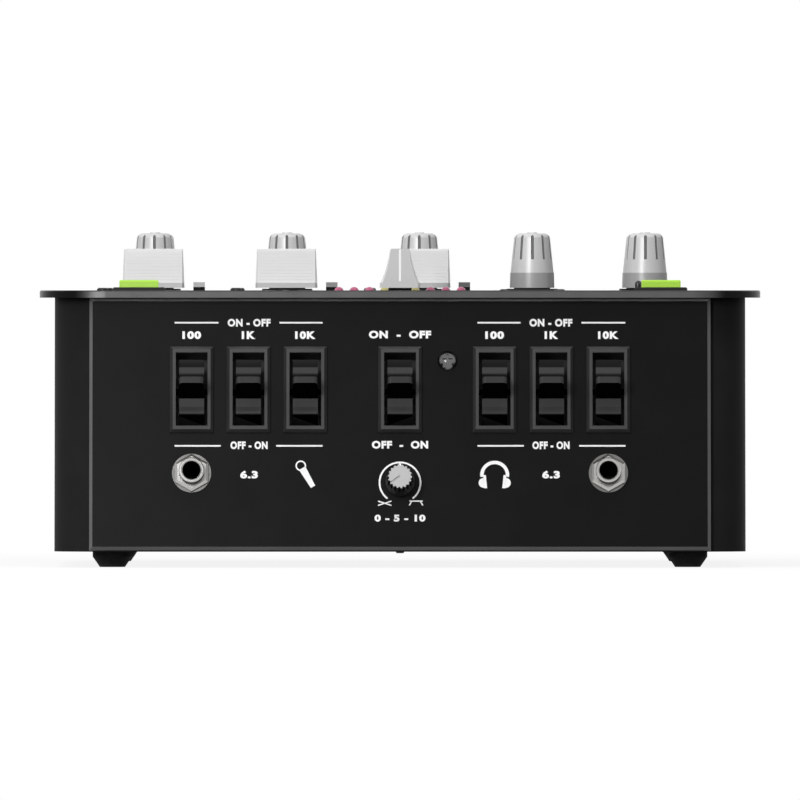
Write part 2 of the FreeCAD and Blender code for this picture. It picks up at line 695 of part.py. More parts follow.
def knob_form():
    """A fluted knob standing at the origin."""
    shoulder_z = KNOB_HEIGHT - KNOB_CROWN_HEIGHT
    crown_z = KNOB_HEIGHT - KNOB_CENTRE_RISE
    edges = [
        Part.LineSegment(V(0, 0, 0), V(KNOB_BASE_R, 0, 0)),
        Part.LineSegment(V(KNOB_BASE_R, 0, 0), V(KNOB_BAND_TOP_R, 0, KNOB_BAND_HEIGHT)),
        Part.LineSegment(V(KNOB_BAND_TOP_R, 0, KNOB_BAND_HEIGHT), V(KNOB_WAIST_R, 0, KNOB_BAND_HEIGHT)),
        Part.LineSegment(V(KNOB_WAIST_R, 0, KNOB_BAND_HEIGHT), V(KNOB_SHOULDER_R, 0, shoulder_z)),
        Part.Arc(V(KNOB_SHOULDER_R, 0, shoulder_z),
                 V((2 * KNOB_SHOULDER_R + KNOB_CROWN_R) / 3, 0, (shoulder_z + 2 * crown_z) / 3),
                 V(KNOB_CROWN_R, 0, crown_z)),
        Part.LineSegment(V(KNOB_CROWN_R, 0, crown_z), V(0, 0, crown_z)),
        Part.LineSegment(V(0, 0, crown_z), V(0, 0, 0)),
    ]
    outline = Part.Wire([edge.toShape() for edge in edges])
    solid = Part.Face(outline).revolve(V(0, 0, 0), V(0, 0, 1), 360)
    solid = solid.fuse(rod(KNOB_CENTRE_R, 0, 0, crown_z - KNOB_CENTRE_RISE, KNOB_HEIGHT))
    cuts = [rod(KNOB_BASE_R - KNOB_RIM, 0, 0, 0, KNOB_HOLLOW_DEPTH),
            rod(POT_SHAFT_R, 0, 0, 0, KNOB_BORE_DEPTH)]
    cuts += [flute(90 + 360 / KNOB_FLUTES * i) for i in range(KNOB_FLUTES)]
    return solid.cut(cuts)


def pot_shaft():
    return rod(POT_SHAFT_R, 0, 0, BOARD_TOP + POT_FLOOR, PLATE_TOP + KNOB_LIFT + KNOB_BORE_DEPTH)


def top_knobs():
    """Every knob on the top plate, each with its shaft."""
    knob = moved(knob_form(), z=PLATE_TOP + KNOB_LIFT)
    shaft = pot_shaft()
    return {name: [moved(knob, x, y), moved(shaft, x, y)] for name, (x, y) in knob_places().items()}


def knob_rings():
    """The black rings under the knobs, and the wider dial plate under one of them."""
    collar_r = KNOB_BASE_R - KNOB_RIM - POT_BUSH_CLEAR
    top = PLATE_TOP + RING_THICK
    ring = turned([(POT_BUSH_R + POT_BUSH_CLEAR, PLATE_TOP), (KNOB_BASE_R + RING_MARGIN, PLATE_TOP),
                   (KNOB_BASE_R + RING_MARGIN, top), (collar_r, top), (collar_r, top + RING_COLLAR_RISE),
                   (POT_BUSH_R + POT_BUSH_CLEAR, top + RING_COLLAR_RISE)])
    rings = [moved(ring, x, y) for x, y in knob_places().values()]
    inner = KNOB_BASE_R + RING_MARGIN
    dial_top = PLATE_TOP + DIAL_PLATE_THICK
    dial = turned([(inner, PLATE_TOP), (DIAL_PLATE_R, PLATE_TOP),
                   (DIAL_PLATE_R - DIAL_PLATE_THICK, dial_top), (inner, dial_top)])
    rings.append(moved(dial, MASTER_XS[0], at_depth(KNOB_DEPTHS[0])))
    return rings


def pot_form(width, depth, floor_z, body_z, bush_z, shaft_r):
    """A pot body with its bush, bored for its shaft."""
    solid = block(0, 0, width, depth, floor_z, body_z)
    solid = solid.fuse(rod(POT_BUSH_R, 0, 0, body_z, bush_z))
    return solid.cut(rod(shaft_r + RUNNING_CLEAR, 0, 0, floor_z + POT_FLOOR, bush_z))


def control_bodies():
    """Pots and push switches on the boards."""
    pot = pot_form(POT_WIDTH, POT_DEPTH, BOARD_TOP, BODY_TOP - POT_TOP_GAP, PLATE_TOP, POT_SHAFT_R)
    bodies = [moved(pot, x, y) for x, y in knob_places().values()]
    curve = pot_form(POT_WIDTH, POT_DEPTH, -PANEL_THICK - CURVE_POT_DEPTH, -PANEL_THICK, 0, CURVE_SHAFT_R)
    bodies.append(on_front(moved(facing_front(curve), 0, 0, CURVE_UP)))
    green_top = PLATE_TOP - GREEN_SKIRT - GREEN_TRAVEL - SWITCH_GAP
    square_top = PLATE_TOP - SQUARE_SKIRT - SQUARE_TRAVEL - SWITCH_GAP
    for x in (-GREEN_X, GREEN_X):
        bodies.append(block(x, at_depth(CROSSFADER_DEPTH), SWITCH_WIDTH, SWITCH_WIDTH, BOARD_TOP, green_top))
    for x, y in square_places():
        bodies.append(block(x, y, SWITCH_WIDTH, SWITCH_WIDTH, BOARD_TOP, square_top))
    return bodies


# Faders, built with their travel along Y and turned for the crossfader

def cap_outline(x, inset):
    """Cross-section of a fader cap: a plain lip under hollow flanks."""
    base = FADER_CAP_WIDTH / 2 - inset
    foot = base - FADER_LIP_STEP
    top = FADER_CAP_TOP_WIDTH / 2 - inset
    shoulder_z = FADER_CAP_HEIGHT - FADER_TOP_BREAK
    middle = V(x, (foot + top) / 2 - FADER_FLANK_HOLLOW, (FADER_LIP_HEIGHT + shoulder_z) / 2)
    crown = top - FADER_TOP_BREAK / 2

    def mirrored(point):
        return V(point.x, -point.y, point.z)

    foot_point = V(x, foot, FADER_LIP_HEIGHT)
    top_point = V(x, top, shoulder_z)
    crown_point = V(x, crown, FADER_CAP_HEIGHT)
    lip = [V(x, base, 0), V(x, base, FADER_LIP_HEIGHT), foot_point]
    edges = [Part.LineSegment(mirrored(lip[0]), lip[0]), Part.LineSegment(lip[0], lip[1]),
             Part.LineSegment(lip[1], lip[2]), Part.Arc(foot_point, middle, top_point),
             Part.LineSegment(top_point, crown_point), Part.LineSegment(crown_point, mirrored(crown_point)),
             Part.LineSegment(mirrored(crown_point), mirrored(top_point)),
             Part.Arc(mirrored(top_point), mirrored(middle), mirrored(foot_point)),
             Part.LineSegment(mirrored(lip[2]), mirrored(lip[1])),
             Part.LineSegment(mirrored(lip[1]), mirrored(lip[0]))]
    return Part.Wire([edge.toShape() for edge in edges])


def cap_ribs():
    """Fine round grooves along both flanks of a fader cap."""
    foot = FADER_CAP_WIDTH / 2 - FADER_LIP_STEP
    top = FADER_CAP_TOP_WIDTH / 2
    shoulder_z = FADER_CAP_HEIGHT - FADER_TOP_BREAK
    middle = V(0, (foot + top) / 2 - FADER_FLANK_HOLLOW, (FADER_LIP_HEIGHT + shoulder_z) / 2)
    flank = Part.Arc(V(0, foot, FADER_LIP_HEIGHT), middle, V(0, top, shoulder_z)).toShape()
    length = FADER_CAP_TOP_LENGTH - 2 * FADER_END_BEVEL
    ribs = []
    for i in range(FADER_RIBS):
        share = (i + 1) / (FADER_RIBS + 1)
        first, last = flank.ParameterRange
        point = flank.valueAt(first + (last - first) * share)
        for side in (-1, 1):
            start = V(-length / 2, side * point.y, point.z)
            ribs.append(Part.makeCylinder(FADER_RIB_R, length, start, V(1, 0, 0)))
    return ribs


def fader_cap():
    """A fader cap over the origin of its slot, bottom at its lift over the plate."""
    half = FADER_CAP_LENGTH / 2
    inner = half - FADER_END_BEVEL
    middle = Part.makeLoft([cap_outline(-inner, 0), cap_outline(inner, 0)], True, True)
    ends = []
    for side in (-1, 1):
        outlines = [cap_outline(side * inner, 0), cap_outline(side * half, FADER_END_BEVEL)]
        ends.append(Part.makeLoft(outlines, True, True))
    solid = middle.fuse(ends)
    top_half = FADER_CAP_TOP_LENGTH / 2
    taper = prism([V(-half, -FADER_CAP_WIDTH, 0), V(half, -FADER_CAP_WIDTH, 0),
                   V(top_half, -FADER_CAP_WIDTH, FADER_CAP_HEIGHT),
                   V(-top_half, -FADER_CAP_WIDTH, FADER_CAP_HEIGHT)], V(0, 2 * FADER_CAP_WIDTH, 0))
    solid = solid.common(taper)
    pocket = block(0, 0, STEM_THICK, STEM_WIDTH, 0, STEM_GRIP)
    return moved(solid.cut(cap_ribs() + [pocket]), z=PLATE_TOP + FADER_CAP_LIFT)


def carriage_floor():
    return BOARD_TOP + FADER_WALL + CARRIAGE_CLEAR


def fader_carriage():
    bottom = carriage_floor()
    sled = block(0, 0, CARRIAGE_WIDTH, CARRIAGE_LENGTH, bottom, bottom + CARRIAGE_HEIGHT)
    stem = block(0, 0, STEM_THICK, STEM_WIDTH, bottom, PLATE_TOP + FADER_CAP_LIFT + STEM_GRIP)
    return sled.fuse(stem)


def fader_body():
    room_y = (FADER_STROKE + CARRIAGE_LENGTH) / 2 + CARRIAGE_CLEAR
    room_x = CARRIAGE_WIDTH / 2 + CARRIAGE_CLEAR
    half_y = room_y + FADER_WALL
    solid = box(-FADER_BODY_HALF_WIDTH, FADER_BODY_HALF_WIDTH, -half_y, half_y, BOARD_TOP, BODY_TOP)
    room = box(-room_x, room_x, -room_y, room_y, BOARD_TOP + FADER_WALL, BODY_TOP - FADER_WALL)
    slot = box(-SLOT_HALF_WIDTH, SLOT_HALF_WIDTH, -SLOT_HALF_LENGTH, SLOT_HALF_LENGTH,
               BOARD_TOP + FADER_WALL, BODY_TOP)
    return solid.cut([room, slot])


def in_channel(shape, channel):
    return moved(shape, CHANNEL_XS[channel], at_depth(FADER_DEPTH))


def in_crossfader(shape):
    return moved(spun(shape, V(0, 0, 1), 90), 0, at_depth(CROSSFADER_DEPTH))


def fader_bodies():
    body = fader_body()
    return [in_channel(body, i) for i in range(CHANNELS)] + [in_crossfader(body)]


def faders():
    """Caps and carriages of the channel faders and the crossfader."""
    cap = fader_cap()
    carriage = fader_carriage()
    nodes = {"crossfader_cap": [in_crossfader(cap)], "crossfader_carriage": [in_crossfader(carriage)]}
    for i in range(CHANNELS):
        nodes[f"fader_cap_{i + 1}"] = [in_channel(cap, i)]
        nodes[f"fader_carriage_{i + 1}"] = [in_channel(carriage, i)]
    return nodes


# Buttons and lamps on the top plate

def green_button(x):
    solid = block(x, at_depth(CROSSFADER_DEPTH), GREEN_WIDTH, GREEN_DEPTH,
                  PLATE_TOP - GREEN_SKIRT, PLATE_TOP + GREEN_RISE)
    return solid.makeFillet(GREEN_EDGE_R, edges_at(solid, V(0, 0, 1), PLATE_TOP + GREEN_RISE))


def button_bezels():
    bezels = []
    opening_x = GREEN_WIDTH + 2 * BUTTON_CLEAR
    opening_y = GREEN_DEPTH + 2 * BUTTON_CLEAR
    top = PLATE_TOP + BEZEL_HEIGHT
    for x in (-GREEN_X, GREEN_X):
        y = at_depth(CROSSFADER_DEPTH)
        solid = block(x, y, opening_x + 2 * BEZEL_MARGIN, opening_y + 2 * BEZEL_MARGIN, PLATE_TOP, top)
        solid = solid.makeChamfer(BEZEL_BEVEL, edges_at(solid, V(0, 0, 1), top))
        bezels.append(solid.cut(block(x, y, opening_x, opening_y, PLATE_TOP, top)))
    return bezels


def square_places():
    return [(x + SQUARE_OFFSET_X, at_depth(SQUARE_DEPTH)) for x in CHANNEL_XS]


def square_button(x, y):
    """A grey cap on its black plunger."""
    seam = PLATE_TOP + SQUARE_RISE - SQUARE_CAP_HEIGHT
    cap = block(x, y, SQUARE_WIDTH, SQUARE_WIDTH, seam, PLATE_TOP + SQUARE_RISE)
    plunger = block(x, y, SQUARE_WIDTH, SQUARE_WIDTH, PLATE_TOP - SQUARE_SKIRT, seam)
    return [cap, plunger]


def buttons():
    nodes = {"green_button_left": [green_button(-GREEN_X)], "green_button_right": [green_button(GREEN_X)]}
    for i, (x, y) in enumerate(square_places()):
        nodes[f"square_button_{i + 1}"] = square_button(x, y)
    return nodes


def lamp_places():
    middle = (LAMPS - 1) / 2
    row = [(LAMP_PITCH * (i - middle), at_depth(LAMP_DEPTH), LAMP_R) for i in range(LAMPS)]
    return row + [(POWER_LAMP_X, at_depth(POWER_LAMP_DEPTH), POWER_LAMP_R)]


def indicator_lamps():
    lamps = []
    rises = [LAMP_RISE] * LAMPS + [POWER_LAMP_RISE]
    for (x, y, radius), rise in zip(lamp_places(), rises):
        dome = min(rise, radius)
        lamps.append(moved(domed(radius, BOARD_TOP, PLATE_TOP + rise - dome, dome), x, y))
    return lamps


# Rockers, in the panel's own frame: -Y is out of the panel and +Z is up the slope

def rocker_form():
    """A paddle rocker centred on its frame, tilted up to its rest."""
    tip = ROCKER_FIN_TIP / 2
    root = ROCKER_FIN_ROOT / 2
    end = ROCKER_HALF_LENGTH

    def point(up, out):
        return V(-ROCKER_WIDTH / 2, -out, up)

    upper_end = point(end, ROCKER_UPPER_END_OUT)
    upper_tip = point(tip, ROCKER_FIN_OUT)
    scoop = point((end + tip) / 2 - ROCKER_SCOOP, (ROCKER_UPPER_END_OUT + ROCKER_FIN_OUT) / 2 - ROCKER_SCOOP)
    corners = [upper_tip, point(-tip, ROCKER_FIN_OUT), point(-root, ROCKER_ROOT_OUT),
               point(-ROCKER_DIP_AT, ROCKER_DIP_OUT), point(-end, ROCKER_END_OUT),
               point(-ROCKER_HEEL_AT, -ROCKER_HEEL_BACK), point(-ROCKER_HUB_HALF, -ROCKER_HUB_BACK),
               point(ROCKER_HUB_HALF, -ROCKER_HUB_BACK), point(end, -ROCKER_END_BACK), upper_end]
    edges = [Part.LineSegment(a, b) for a, b in zip(corners, corners[1:])]
    edges.append(Part.Arc(upper_end, scoop, upper_tip))
    outline = Part.Wire([edge.toShape() for edge in edges])
    solid = Part.Face(outline).extrude(V(ROCKER_WIDTH, 0, 0))
    tip_edges = [edge for edge in edges_along(solid, V(0, 0, 1))
                 if all(abs(vertex.Point.y + ROCKER_FIN_OUT) < 1e-6 for vertex in edge.Vertexes)]
    solid = solid.makeFillet(ROCKER_TIP_R, tip_edges)
    end_edges = [edge for edge in edges_along(solid, V(1, 0, 0))
                 if abs(edge.Vertexes[0].Point.z + end) < 1e-6]
    solid = solid.makeFillet(ROCKER_END_R, end_edges)
    bore = Part.makeCylinder(ROCKER_PIN_R + RUNNING_CLEAR, 2 * ROCKER_WIDTH,
                             V(-ROCKER_WIDTH, ROCKER_PIVOT_BACK, 0), V(1, 0, 0))
    solid = solid.cut(bore)
    solid.rotate(V(0, ROCKER_PIVOT_BACK, 0), V(1, 0, 0), -ROCKER_REST_TILT)
    return solid


def rocker_frame():
    """A bevelled frame and the housing behind it, bored for the pin."""
    rim_x = FRAME_HALF_X + FRAME_RIM
    rim_up = FRAME_HALF_UP + FRAME_END_RIM
    rim = box(-rim_x, rim_x, -FRAME_PROUD, 0, -rim_up, rim_up)
    rim = rim.makeChamfer(FRAME_BEVEL, edges_at(rim, V(0, 1, 0), -FRAME_PROUD))
    wall_x = FRAME_HALF_X + HOUSING_WALL
    wall_up = FRAME_HALF_UP + HOUSING_WALL
    housing = box(-wall_x, wall_x, 0, HOUSING_DEPTH, -wall_up, wall_up)
    room = box(-FRAME_HALF_X, FRAME_HALF_X, -2 * FRAME_PROUD, HOUSING_DEPTH - HOUSING_FLOOR,
               -FRAME_HALF_UP, FRAME_HALF_UP)
    return rim.fuse(housing).cut([room, rocker_pin()])


def rocker_pin():
    half = FRAME_HALF_X + HOUSING_WALL
    return Part.makeCylinder(ROCKER_PIN_R, 2 * half, V(-half, ROCKER_PIVOT_BACK, 0), V(1, 0, 0))


def at_each_rocker(shape):
    return [on_front(moved(shape, x, 0, ROCKER_UP)) for x in ROCKER_XS]


def rockers():
    names = [f"left_rocker_{i + 1}" for i in range(ROCKER_GROUP)] + ["middle_rocker"]
    names += [f"right_rocker_{i + 1}" for i in range(ROCKER_GROUP)]
    return {name: [solid] for name, solid in zip(names, at_each_rocker(rocker_form()))}


# Jack sockets and the small knob on the front panel

def at_each_jack(shape):
    return [on_front(moved(facing_front(shape), x, 0, JACK_UP)) for x in (-JACK_X, JACK_X)]


def jack_sockets():
    floor = JACK_PROUD - JACK_BORE_DEPTH
    barrel = rod(JACK_BARREL_R, 0, 0, -PANEL_THICK, JACK_PROUD)
    barrel = barrel.makeChamfer(JACK_RIM_BREAK, edges_at(barrel, V(0, 0, 1), JACK_PROUD))
    body = block(0, 0, JACK_BODY_WIDTH, JACK_BODY_WIDTH, floor - JACK_BODY_END, -PANEL_THICK)
    bore = rod(JACK_BORE_R, 0, 0, floor, JACK_PROUD)
    mouth = Part.makeCone(JACK_BORE_R, JACK_BORE_R + JACK_MOUTH_BREAK, JACK_MOUTH_BREAK,
                          V(0, 0, JACK_PROUD - JACK_MOUTH_BREAK))
    return at_each_jack(barrel.fuse(body).cut([bore, mouth]))


def jack_nut():
    """A hexagon nut with an even bevel round its outer face."""
    corner_r = JACK_NUT_FLATS / 2 / math.cos(math.radians(30))
    top = JACK_WASHER_THICK + JACK_NUT_THICK
    points = [V(x, y, JACK_WASHER_THICK) for x, y in round_places(6, corner_r, 30)]
    hexagon = prism(points, V(0, 0, JACK_NUT_THICK))
    hexagon = hexagon.makeChamfer(JACK_NUT_BREAK, edges_at(hexagon, V(0, 0, 1), top))
    return hexagon.cut(rod(JACK_BARREL_R, 0, 0, 0, top))


def jack_nuts_and_washers():
    washer = rod(JACK_WASHER_R, 0, 0, 0, JACK_WASHER_THICK)
    washer = washer.cut(rod(JACK_BARREL_R, 0, 0, 0, JACK_WASHER_THICK))
    return at_each_jack(washer) + at_each_jack(jack_nut())


def curve_knob():
    """The dark scalloped body, its pale cap with a pointer groove, and the shaft."""
    cap_z = CURVE_KNOB_OUT - CURVE_CAP_THICK
    body = turned([(0, CURVE_GAP), (CURVE_BASE_R, CURVE_GAP), (CURVE_BASE_R, CURVE_GAP + CURVE_BASE_BAND),
                   (CURVE_FACE_R, cap_z), (0, cap_z)])
    cap = rod(CURVE_FACE_R, 0, 0, cap_z, CURVE_KNOB_OUT)
    teeth = [rod(CURVE_TOOTH_R, x, y, CURVE_GAP + CURVE_BASE_BAND, CURVE_KNOB_OUT)
             for x, y in round_places(CURVE_TEETH, CURVE_FACE_R)]
    pointer = box(-CURVE_POINTER_WIDTH / 2, CURVE_POINTER_WIDTH / 2, 0, CURVE_FACE_R,
                  CURVE_KNOB_OUT - CURVE_POINTER_DEPTH, CURVE_KNOB_OUT)
    bore = rod(CURVE_SHAFT_R, 0, 0, 0, CURVE_BORE_DEPTH)
    shaft = rod(CURVE_SHAFT_R, 0, 0, POT_FLOOR - PANEL_THICK - CURVE_POT_DEPTH, CURVE_BORE_DEPTH)
    solids = [body.cut(teeth + [bore]), cap.cut(teeth + [pointer]), shaft]
    turn = [spun(solid, V(0, 0, 1), -CURVE_POINTER) for solid in solids]
    return [on_front(moved(facing_front(solid), 0, 0, CURVE_UP)) for solid in turn]


# Rear sockets

def at_each_phono(shape):
    return [moved(facing_rear(shape), x, REAR_FACE_Y, z) for z in PHONO_ZS for x in PHONO_XS]


def phono_shells():
    inner = PHONO_R - PHONO_WALL
    shell = turned([(inner, 0), (PHONO_FLANGE_R, 0), (PHONO_FLANGE_R, PHONO_FLANGE_THICK),
                    (PHONO_R, PHONO_FLANGE_THICK), (PHONO_R, PHONO_LENGTH), (inner, PHONO_LENGTH)])
    return at_each_phono(shell)


def phono_inserts():
    end = PHONO_LENGTH - PHONO_INSERT_INSET
    insert = rod(PHONO_R - PHONO_WALL, 0, 0, -PHONO_TAIL, end)
    return at_each_phono(insert.cut(rod(PHONO_PIN_R, 0, 0, end - PHONO_PIN_DEPTH, end)))


def dc_inlet():
    bore_floor = INLET_PROUD - INLET_BORE_DEPTH
    flange_top = INLET_FLANGE_THICK
    body = turned([(0, bore_floor - INLET_FLOOR), (INLET_R, bore_floor - INLET_FLOOR), (INLET_R, 0),
                   (INLET_FLANGE_R, 0), (INLET_FLANGE_R, flange_top), (INLET_R, flange_top),
                   (INLET_R, INLET_PROUD), (0, INLET_PROUD)])
    body = body.cut(rod(INLET_BORE_R, 0, 0, bore_floor, INLET_PROUD))
    pin = rod(INLET_PIN_R, 0, 0, bore_floor, INLET_PROUD - INLET_PIN_SET_BACK)
    return [moved(facing_rear(body.fuse(pin)), INLET_X, REAR_FACE_Y, PHONO_MIDDLE_Z)]


def ground_screw():
    head = rod(GROUND_HEAD_R, 0, 0, GROUND_GAP, GROUND_GAP + GROUND_HEAD_LENGTH)
    teeth = [rod(GROUND_TOOTH_R, x, y, GROUND_GAP, GROUND_GAP + GROUND_HEAD_LENGTH)
             for x, y in round_places(GROUND_TEETH, GROUND_HEAD_R)]
    shank = rod(GROUND_SHANK_R, 0, 0, -REAR_PANEL_THICK - GROUND_TAIL, GROUND_GAP)
    return [moved(facing_rear(head.cut(teeth).fuse(shank)), GROUND_X, REAR_FACE_Y, PHONO_MIDDLE_Z)]


# Every piece by its name

def all_nodes():
    nodes = {
        "chassis_tray": chassis_tray(),
        "top_plate": top_plate(),
        "front_panel": front_panel(),
        "rear_panel": rear_panel(),
        "rubber_feet": rubber_feet(),
        "top_plate_screws": top_plate_screws(),
        "pan_head_screws": pan_head_screws(),
        "front_panel_screw": front_panel_screw(),
        "main_board": main_board(),
        "front_board": front_board(),
        "board_standoffs": board_standoffs(),
        "knob_rings": knob_rings(),
        "control_bodies": control_bodies(),
        "fader_bodies": fader_bodies(),
        "button_bezels": button_bezels(),
        "indicator_lamps": indicator_lamps(),
        "rocker_frames": at_each_rocker(rocker_frame()),
        "rocker_pins": at_each_rocker(rocker_pin()),
        "jack_sockets": jack_sockets(),
        "jack_nuts_and_washers": jack_nuts_and_washers(),
        "phono_shells": phono_shells(),
        "phono_inserts": phono_inserts(),
        "dc_inlet": dc_inlet(),
        "ground_screw": ground_screw(),
        "curve_knob": curve_knob(),
    }
    for group in (rockers(), faders(), buttons(), top_knobs()):
        nodes.update(group)
    return nodes


os.makedirs("parts", exist_ok=True)
for name, solids in all_nodes().items():
    shape = solids[0] if len(solids) == 1 else Part.makeCompound(solids)
    shape.exportStep(f"parts/{name}.step")
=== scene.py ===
import json
import math

import bmesh
import bpy
from mathutils import Matrix, Vector

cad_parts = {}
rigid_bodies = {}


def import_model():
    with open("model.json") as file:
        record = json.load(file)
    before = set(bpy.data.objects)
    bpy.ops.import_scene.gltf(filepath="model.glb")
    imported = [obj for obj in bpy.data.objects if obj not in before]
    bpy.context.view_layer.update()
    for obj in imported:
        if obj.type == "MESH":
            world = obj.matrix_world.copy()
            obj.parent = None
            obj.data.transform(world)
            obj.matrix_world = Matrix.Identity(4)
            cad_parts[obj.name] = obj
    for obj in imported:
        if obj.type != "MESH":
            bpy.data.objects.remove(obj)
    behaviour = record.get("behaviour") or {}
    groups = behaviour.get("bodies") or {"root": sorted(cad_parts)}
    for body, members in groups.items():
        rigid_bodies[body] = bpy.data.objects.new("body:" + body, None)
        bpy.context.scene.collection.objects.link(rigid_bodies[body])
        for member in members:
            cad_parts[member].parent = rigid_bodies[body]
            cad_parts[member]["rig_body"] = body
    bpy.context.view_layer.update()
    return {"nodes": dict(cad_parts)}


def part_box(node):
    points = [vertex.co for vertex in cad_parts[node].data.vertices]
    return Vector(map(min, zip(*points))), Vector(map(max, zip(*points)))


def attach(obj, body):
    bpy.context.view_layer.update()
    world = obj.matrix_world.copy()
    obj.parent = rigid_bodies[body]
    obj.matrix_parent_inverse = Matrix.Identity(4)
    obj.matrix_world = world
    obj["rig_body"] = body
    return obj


# Looks of a ten-inch mixer: finishes for every solid, the printing, and the studio.
# Lengths are millimetres and become metres where an object is made; the studio's are metres.

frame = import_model()
NODES = frame["nodes"]
MM = 0.001

# Front panel: its slope and the places of what sits on it
PANEL_TILT = math.radians(10.5)
PANEL_THICK = 2.0
PANEL_BEVEL = 1.1
ROCKER_GROUP_XS = (33.3, 53.3, 73.3)
ROCKER_GROUP_X = 53.1
ROCKER_HEEL_UP = 46.5
ROCKER_TIP_UP = 60.6
JACK_X = 73.3
JACK_UP = 27.3
JACK_BORE_R = 3.25
JACK_WASHER_THICK = 0.6
CURVE_UP = 24.0
CURVE_FACE_OUT = 11.6

# Top plate and what stands on it
PLATE_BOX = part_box("top_plate")
PLATE_TOP = PLATE_BOX[1].z / MM
PLATE_FRONT = PLATE_BOX[0].y / MM
PLATE_CORNER_R = 23.3
BANDS = ("low", "mid", "high")
KNOB_TRAVEL = 140.0
FADER_STROKE = 45.0
# Tone of the plate edge's metal, and the painted shade that darkens it far from the middle across
EDGE_BRIGHT = 0.069
EDGE_PAINTED_SHADE_SHARE = 0.14
EDGE_FADE_FROM = 108.0
EDGE_FADE_TO = 115.0
LAMP_PITCH = 5.4
POWER_LAMP_FROM_X = 50.0
KNOB_LIFT = 0.9
KNOB_BAND_HEIGHT = 5.4
KNOB_WAIST_R = 7.55
KNOB_SHOULDER_R = 6.25
KNOB_SHOULDER_HEIGHT = 17.95
KNOB_SHAFT_R = 3.2
KNOB_SHAFT_RISE = 10.0
GROOVE_FROM = 0.12
FADER_LIFT = 0.9
FADER_LIP_HEIGHT = 1.8
PLUNGER_RISE = 1.15
PLUNGER_TOP_RISE = 1.25
SQUARE_TONES = (0.95, 0.5, 0.2)

# What tells the faces of a node apart: parts of a unit normal, and then lengths
FACES_UP = 0.5
FACES_ALONG = 0.9
BEVEL_OUT = (0.5, 0.9)
FRAME_SIDE_OUT = (0.3, 0.95)
JACK_EDGE_OUT = (0.2, 0.95)
RECESS_WALL_OUT = 0.1
ROCKER_UNDER_Z = -0.4
ROCKER_SCOOP_Z = 0.45
EDGE_BAND = 0.7
EDGE_CORNER_BAND = 0.9
JACK_SLACK = 0.05
JACK_BODY_DEPTH = 0.1
INLET_PIN_REACH = 1.3

# The middle part of a noise pattern, where nearly all of its values lie
NOISE_LOW = 0.3
NOISE_HIGH = 0.7


# Helpers

def link(thing):
    bpy.context.scene.collection.objects.link(thing)
    return thing


def middle_of(node):
    """The middle of a node's box, in millimetres."""
    low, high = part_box(node)
    return (low + high) / 2 / MM


def body_of(node):
    return NODES[node]["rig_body"]


def between(value, limits):
    return limits[0] < value < limits[1]


def shader_of(made):
    return made.node_tree.nodes["Principled BSDF"]


def new_material(name, color, roughness, metallic=0.0):
    made = bpy.data.materials.new(name)
    made.use_nodes = True
    shader = shader_of(made)
    shader.inputs["Base Color"].default_value = (*color, 1.0)
    shader.inputs["Roughness"].default_value = roughness
    shader.inputs["Metallic"].default_value = metallic
    return made


def noise(made, scale, detail=3.0, stretch=(1.0, 1.0, 1.0)):
    """A noise pattern fixed to the piece, with features of about 1/scale metres."""
    tree = made.node_tree
    place = tree.nodes.new("ShaderNodeTexCoord")
    mapping = tree.nodes.new("ShaderNodeMapping")
    mapping.inputs["Scale"].default_value = stretch
    tree.links.new(place.outputs["Object"], mapping.inputs["Vector"])
    pattern = tree.nodes.new("ShaderNodeTexNoise")
    pattern.inputs["Scale"].default_value = scale
    pattern.inputs["Detail"].default_value = detail
    tree.links.new(mapping.outputs["Vector"], pattern.inputs["Vector"])
    return pattern.outputs["Fac"]


def ranged(tree, socket, low, high, to_low, to_high):
    """A smooth change from one value to another while the socket runs from low to high."""
    made = tree.nodes.new("ShaderNodeMapRange")
    made.interpolation_type = "SMOOTHSTEP"
    made.inputs["From Min"].default_value = low
    made.inputs["From Max"].default_value = high
    made.inputs["To Min"].default_value = to_low
    made.inputs["To Max"].default_value = to_high
    tree.links.new(socket, made.inputs["Value"])
    return made.outputs["Result"]


def vary_color(made, pattern, low, high):
    tree = made.node_tree
    ramp = tree.nodes.new("ShaderNodeValToRGB")
    ramp.color_ramp.elements[0].position = NOISE_LOW
    ramp.color_ramp.elements[0].color = (*low, 1.0)
    ramp.color_ramp.elements[1].position = NOISE_HIGH
    ramp.color_ramp.elements[1].color = (*high, 1.0)
    tree.links.new(pattern, ramp.inputs["Fac"])
    tree.links.new(ramp.outputs["Color"], shader_of(made).inputs["Base Color"])


def vary_roughness(made, pattern, low, high):
    tree = made.node_tree
    spread = tree.nodes.new("ShaderNodeMapRange")
    spread.inputs["From Min"].default_value = NOISE_LOW
    spread.inputs["From Max"].default_value = NOISE_HIGH
    spread.inputs["To Min"].default_value = low
    spread.inputs["To Max"].default_value = high
    tree.links.new(pattern, spread.inputs["Value"])
    tree.links.new(spread.outputs["Result"], shader_of(made).inputs["Roughness"])


def add_bump(made, pattern, depth):
    """Small relief, depth in millimetres."""
    tree = made.node_tree
    bump = tree.nodes.new("ShaderNodeBump")
    bump.inputs["Distance"].default_value = depth * MM
    bump.inputs["Strength"].default_value = 1.0
    tree.links.new(pattern, bump.inputs["Height"])
    tree.links.new(bump.outputs["Normal"], shader_of(made).inputs["Normal"])


def grey(value):
    return (value, value, value)


def moulded(name, tone, roughness, grain=1800.0, relief=0.01, specular=0.5):
    """A black or coloured surface with a fine grain and slightly uneven tone and gloss."""
    made = new_material(name, tone, roughness)
    shader_of(made).inputs["Specular IOR Level"].default_value = specular
    cloud = noise(made, 60.0)
    vary_color(made, cloud, [c * 0.88 for c in tone], [c * 1.12 for c in tone])
    vary_roughness(made, cloud, roughness - 0.03, roughness + 0.03)
    add_bump(made, noise(made, grain, detail=2.0), relief)
    return made


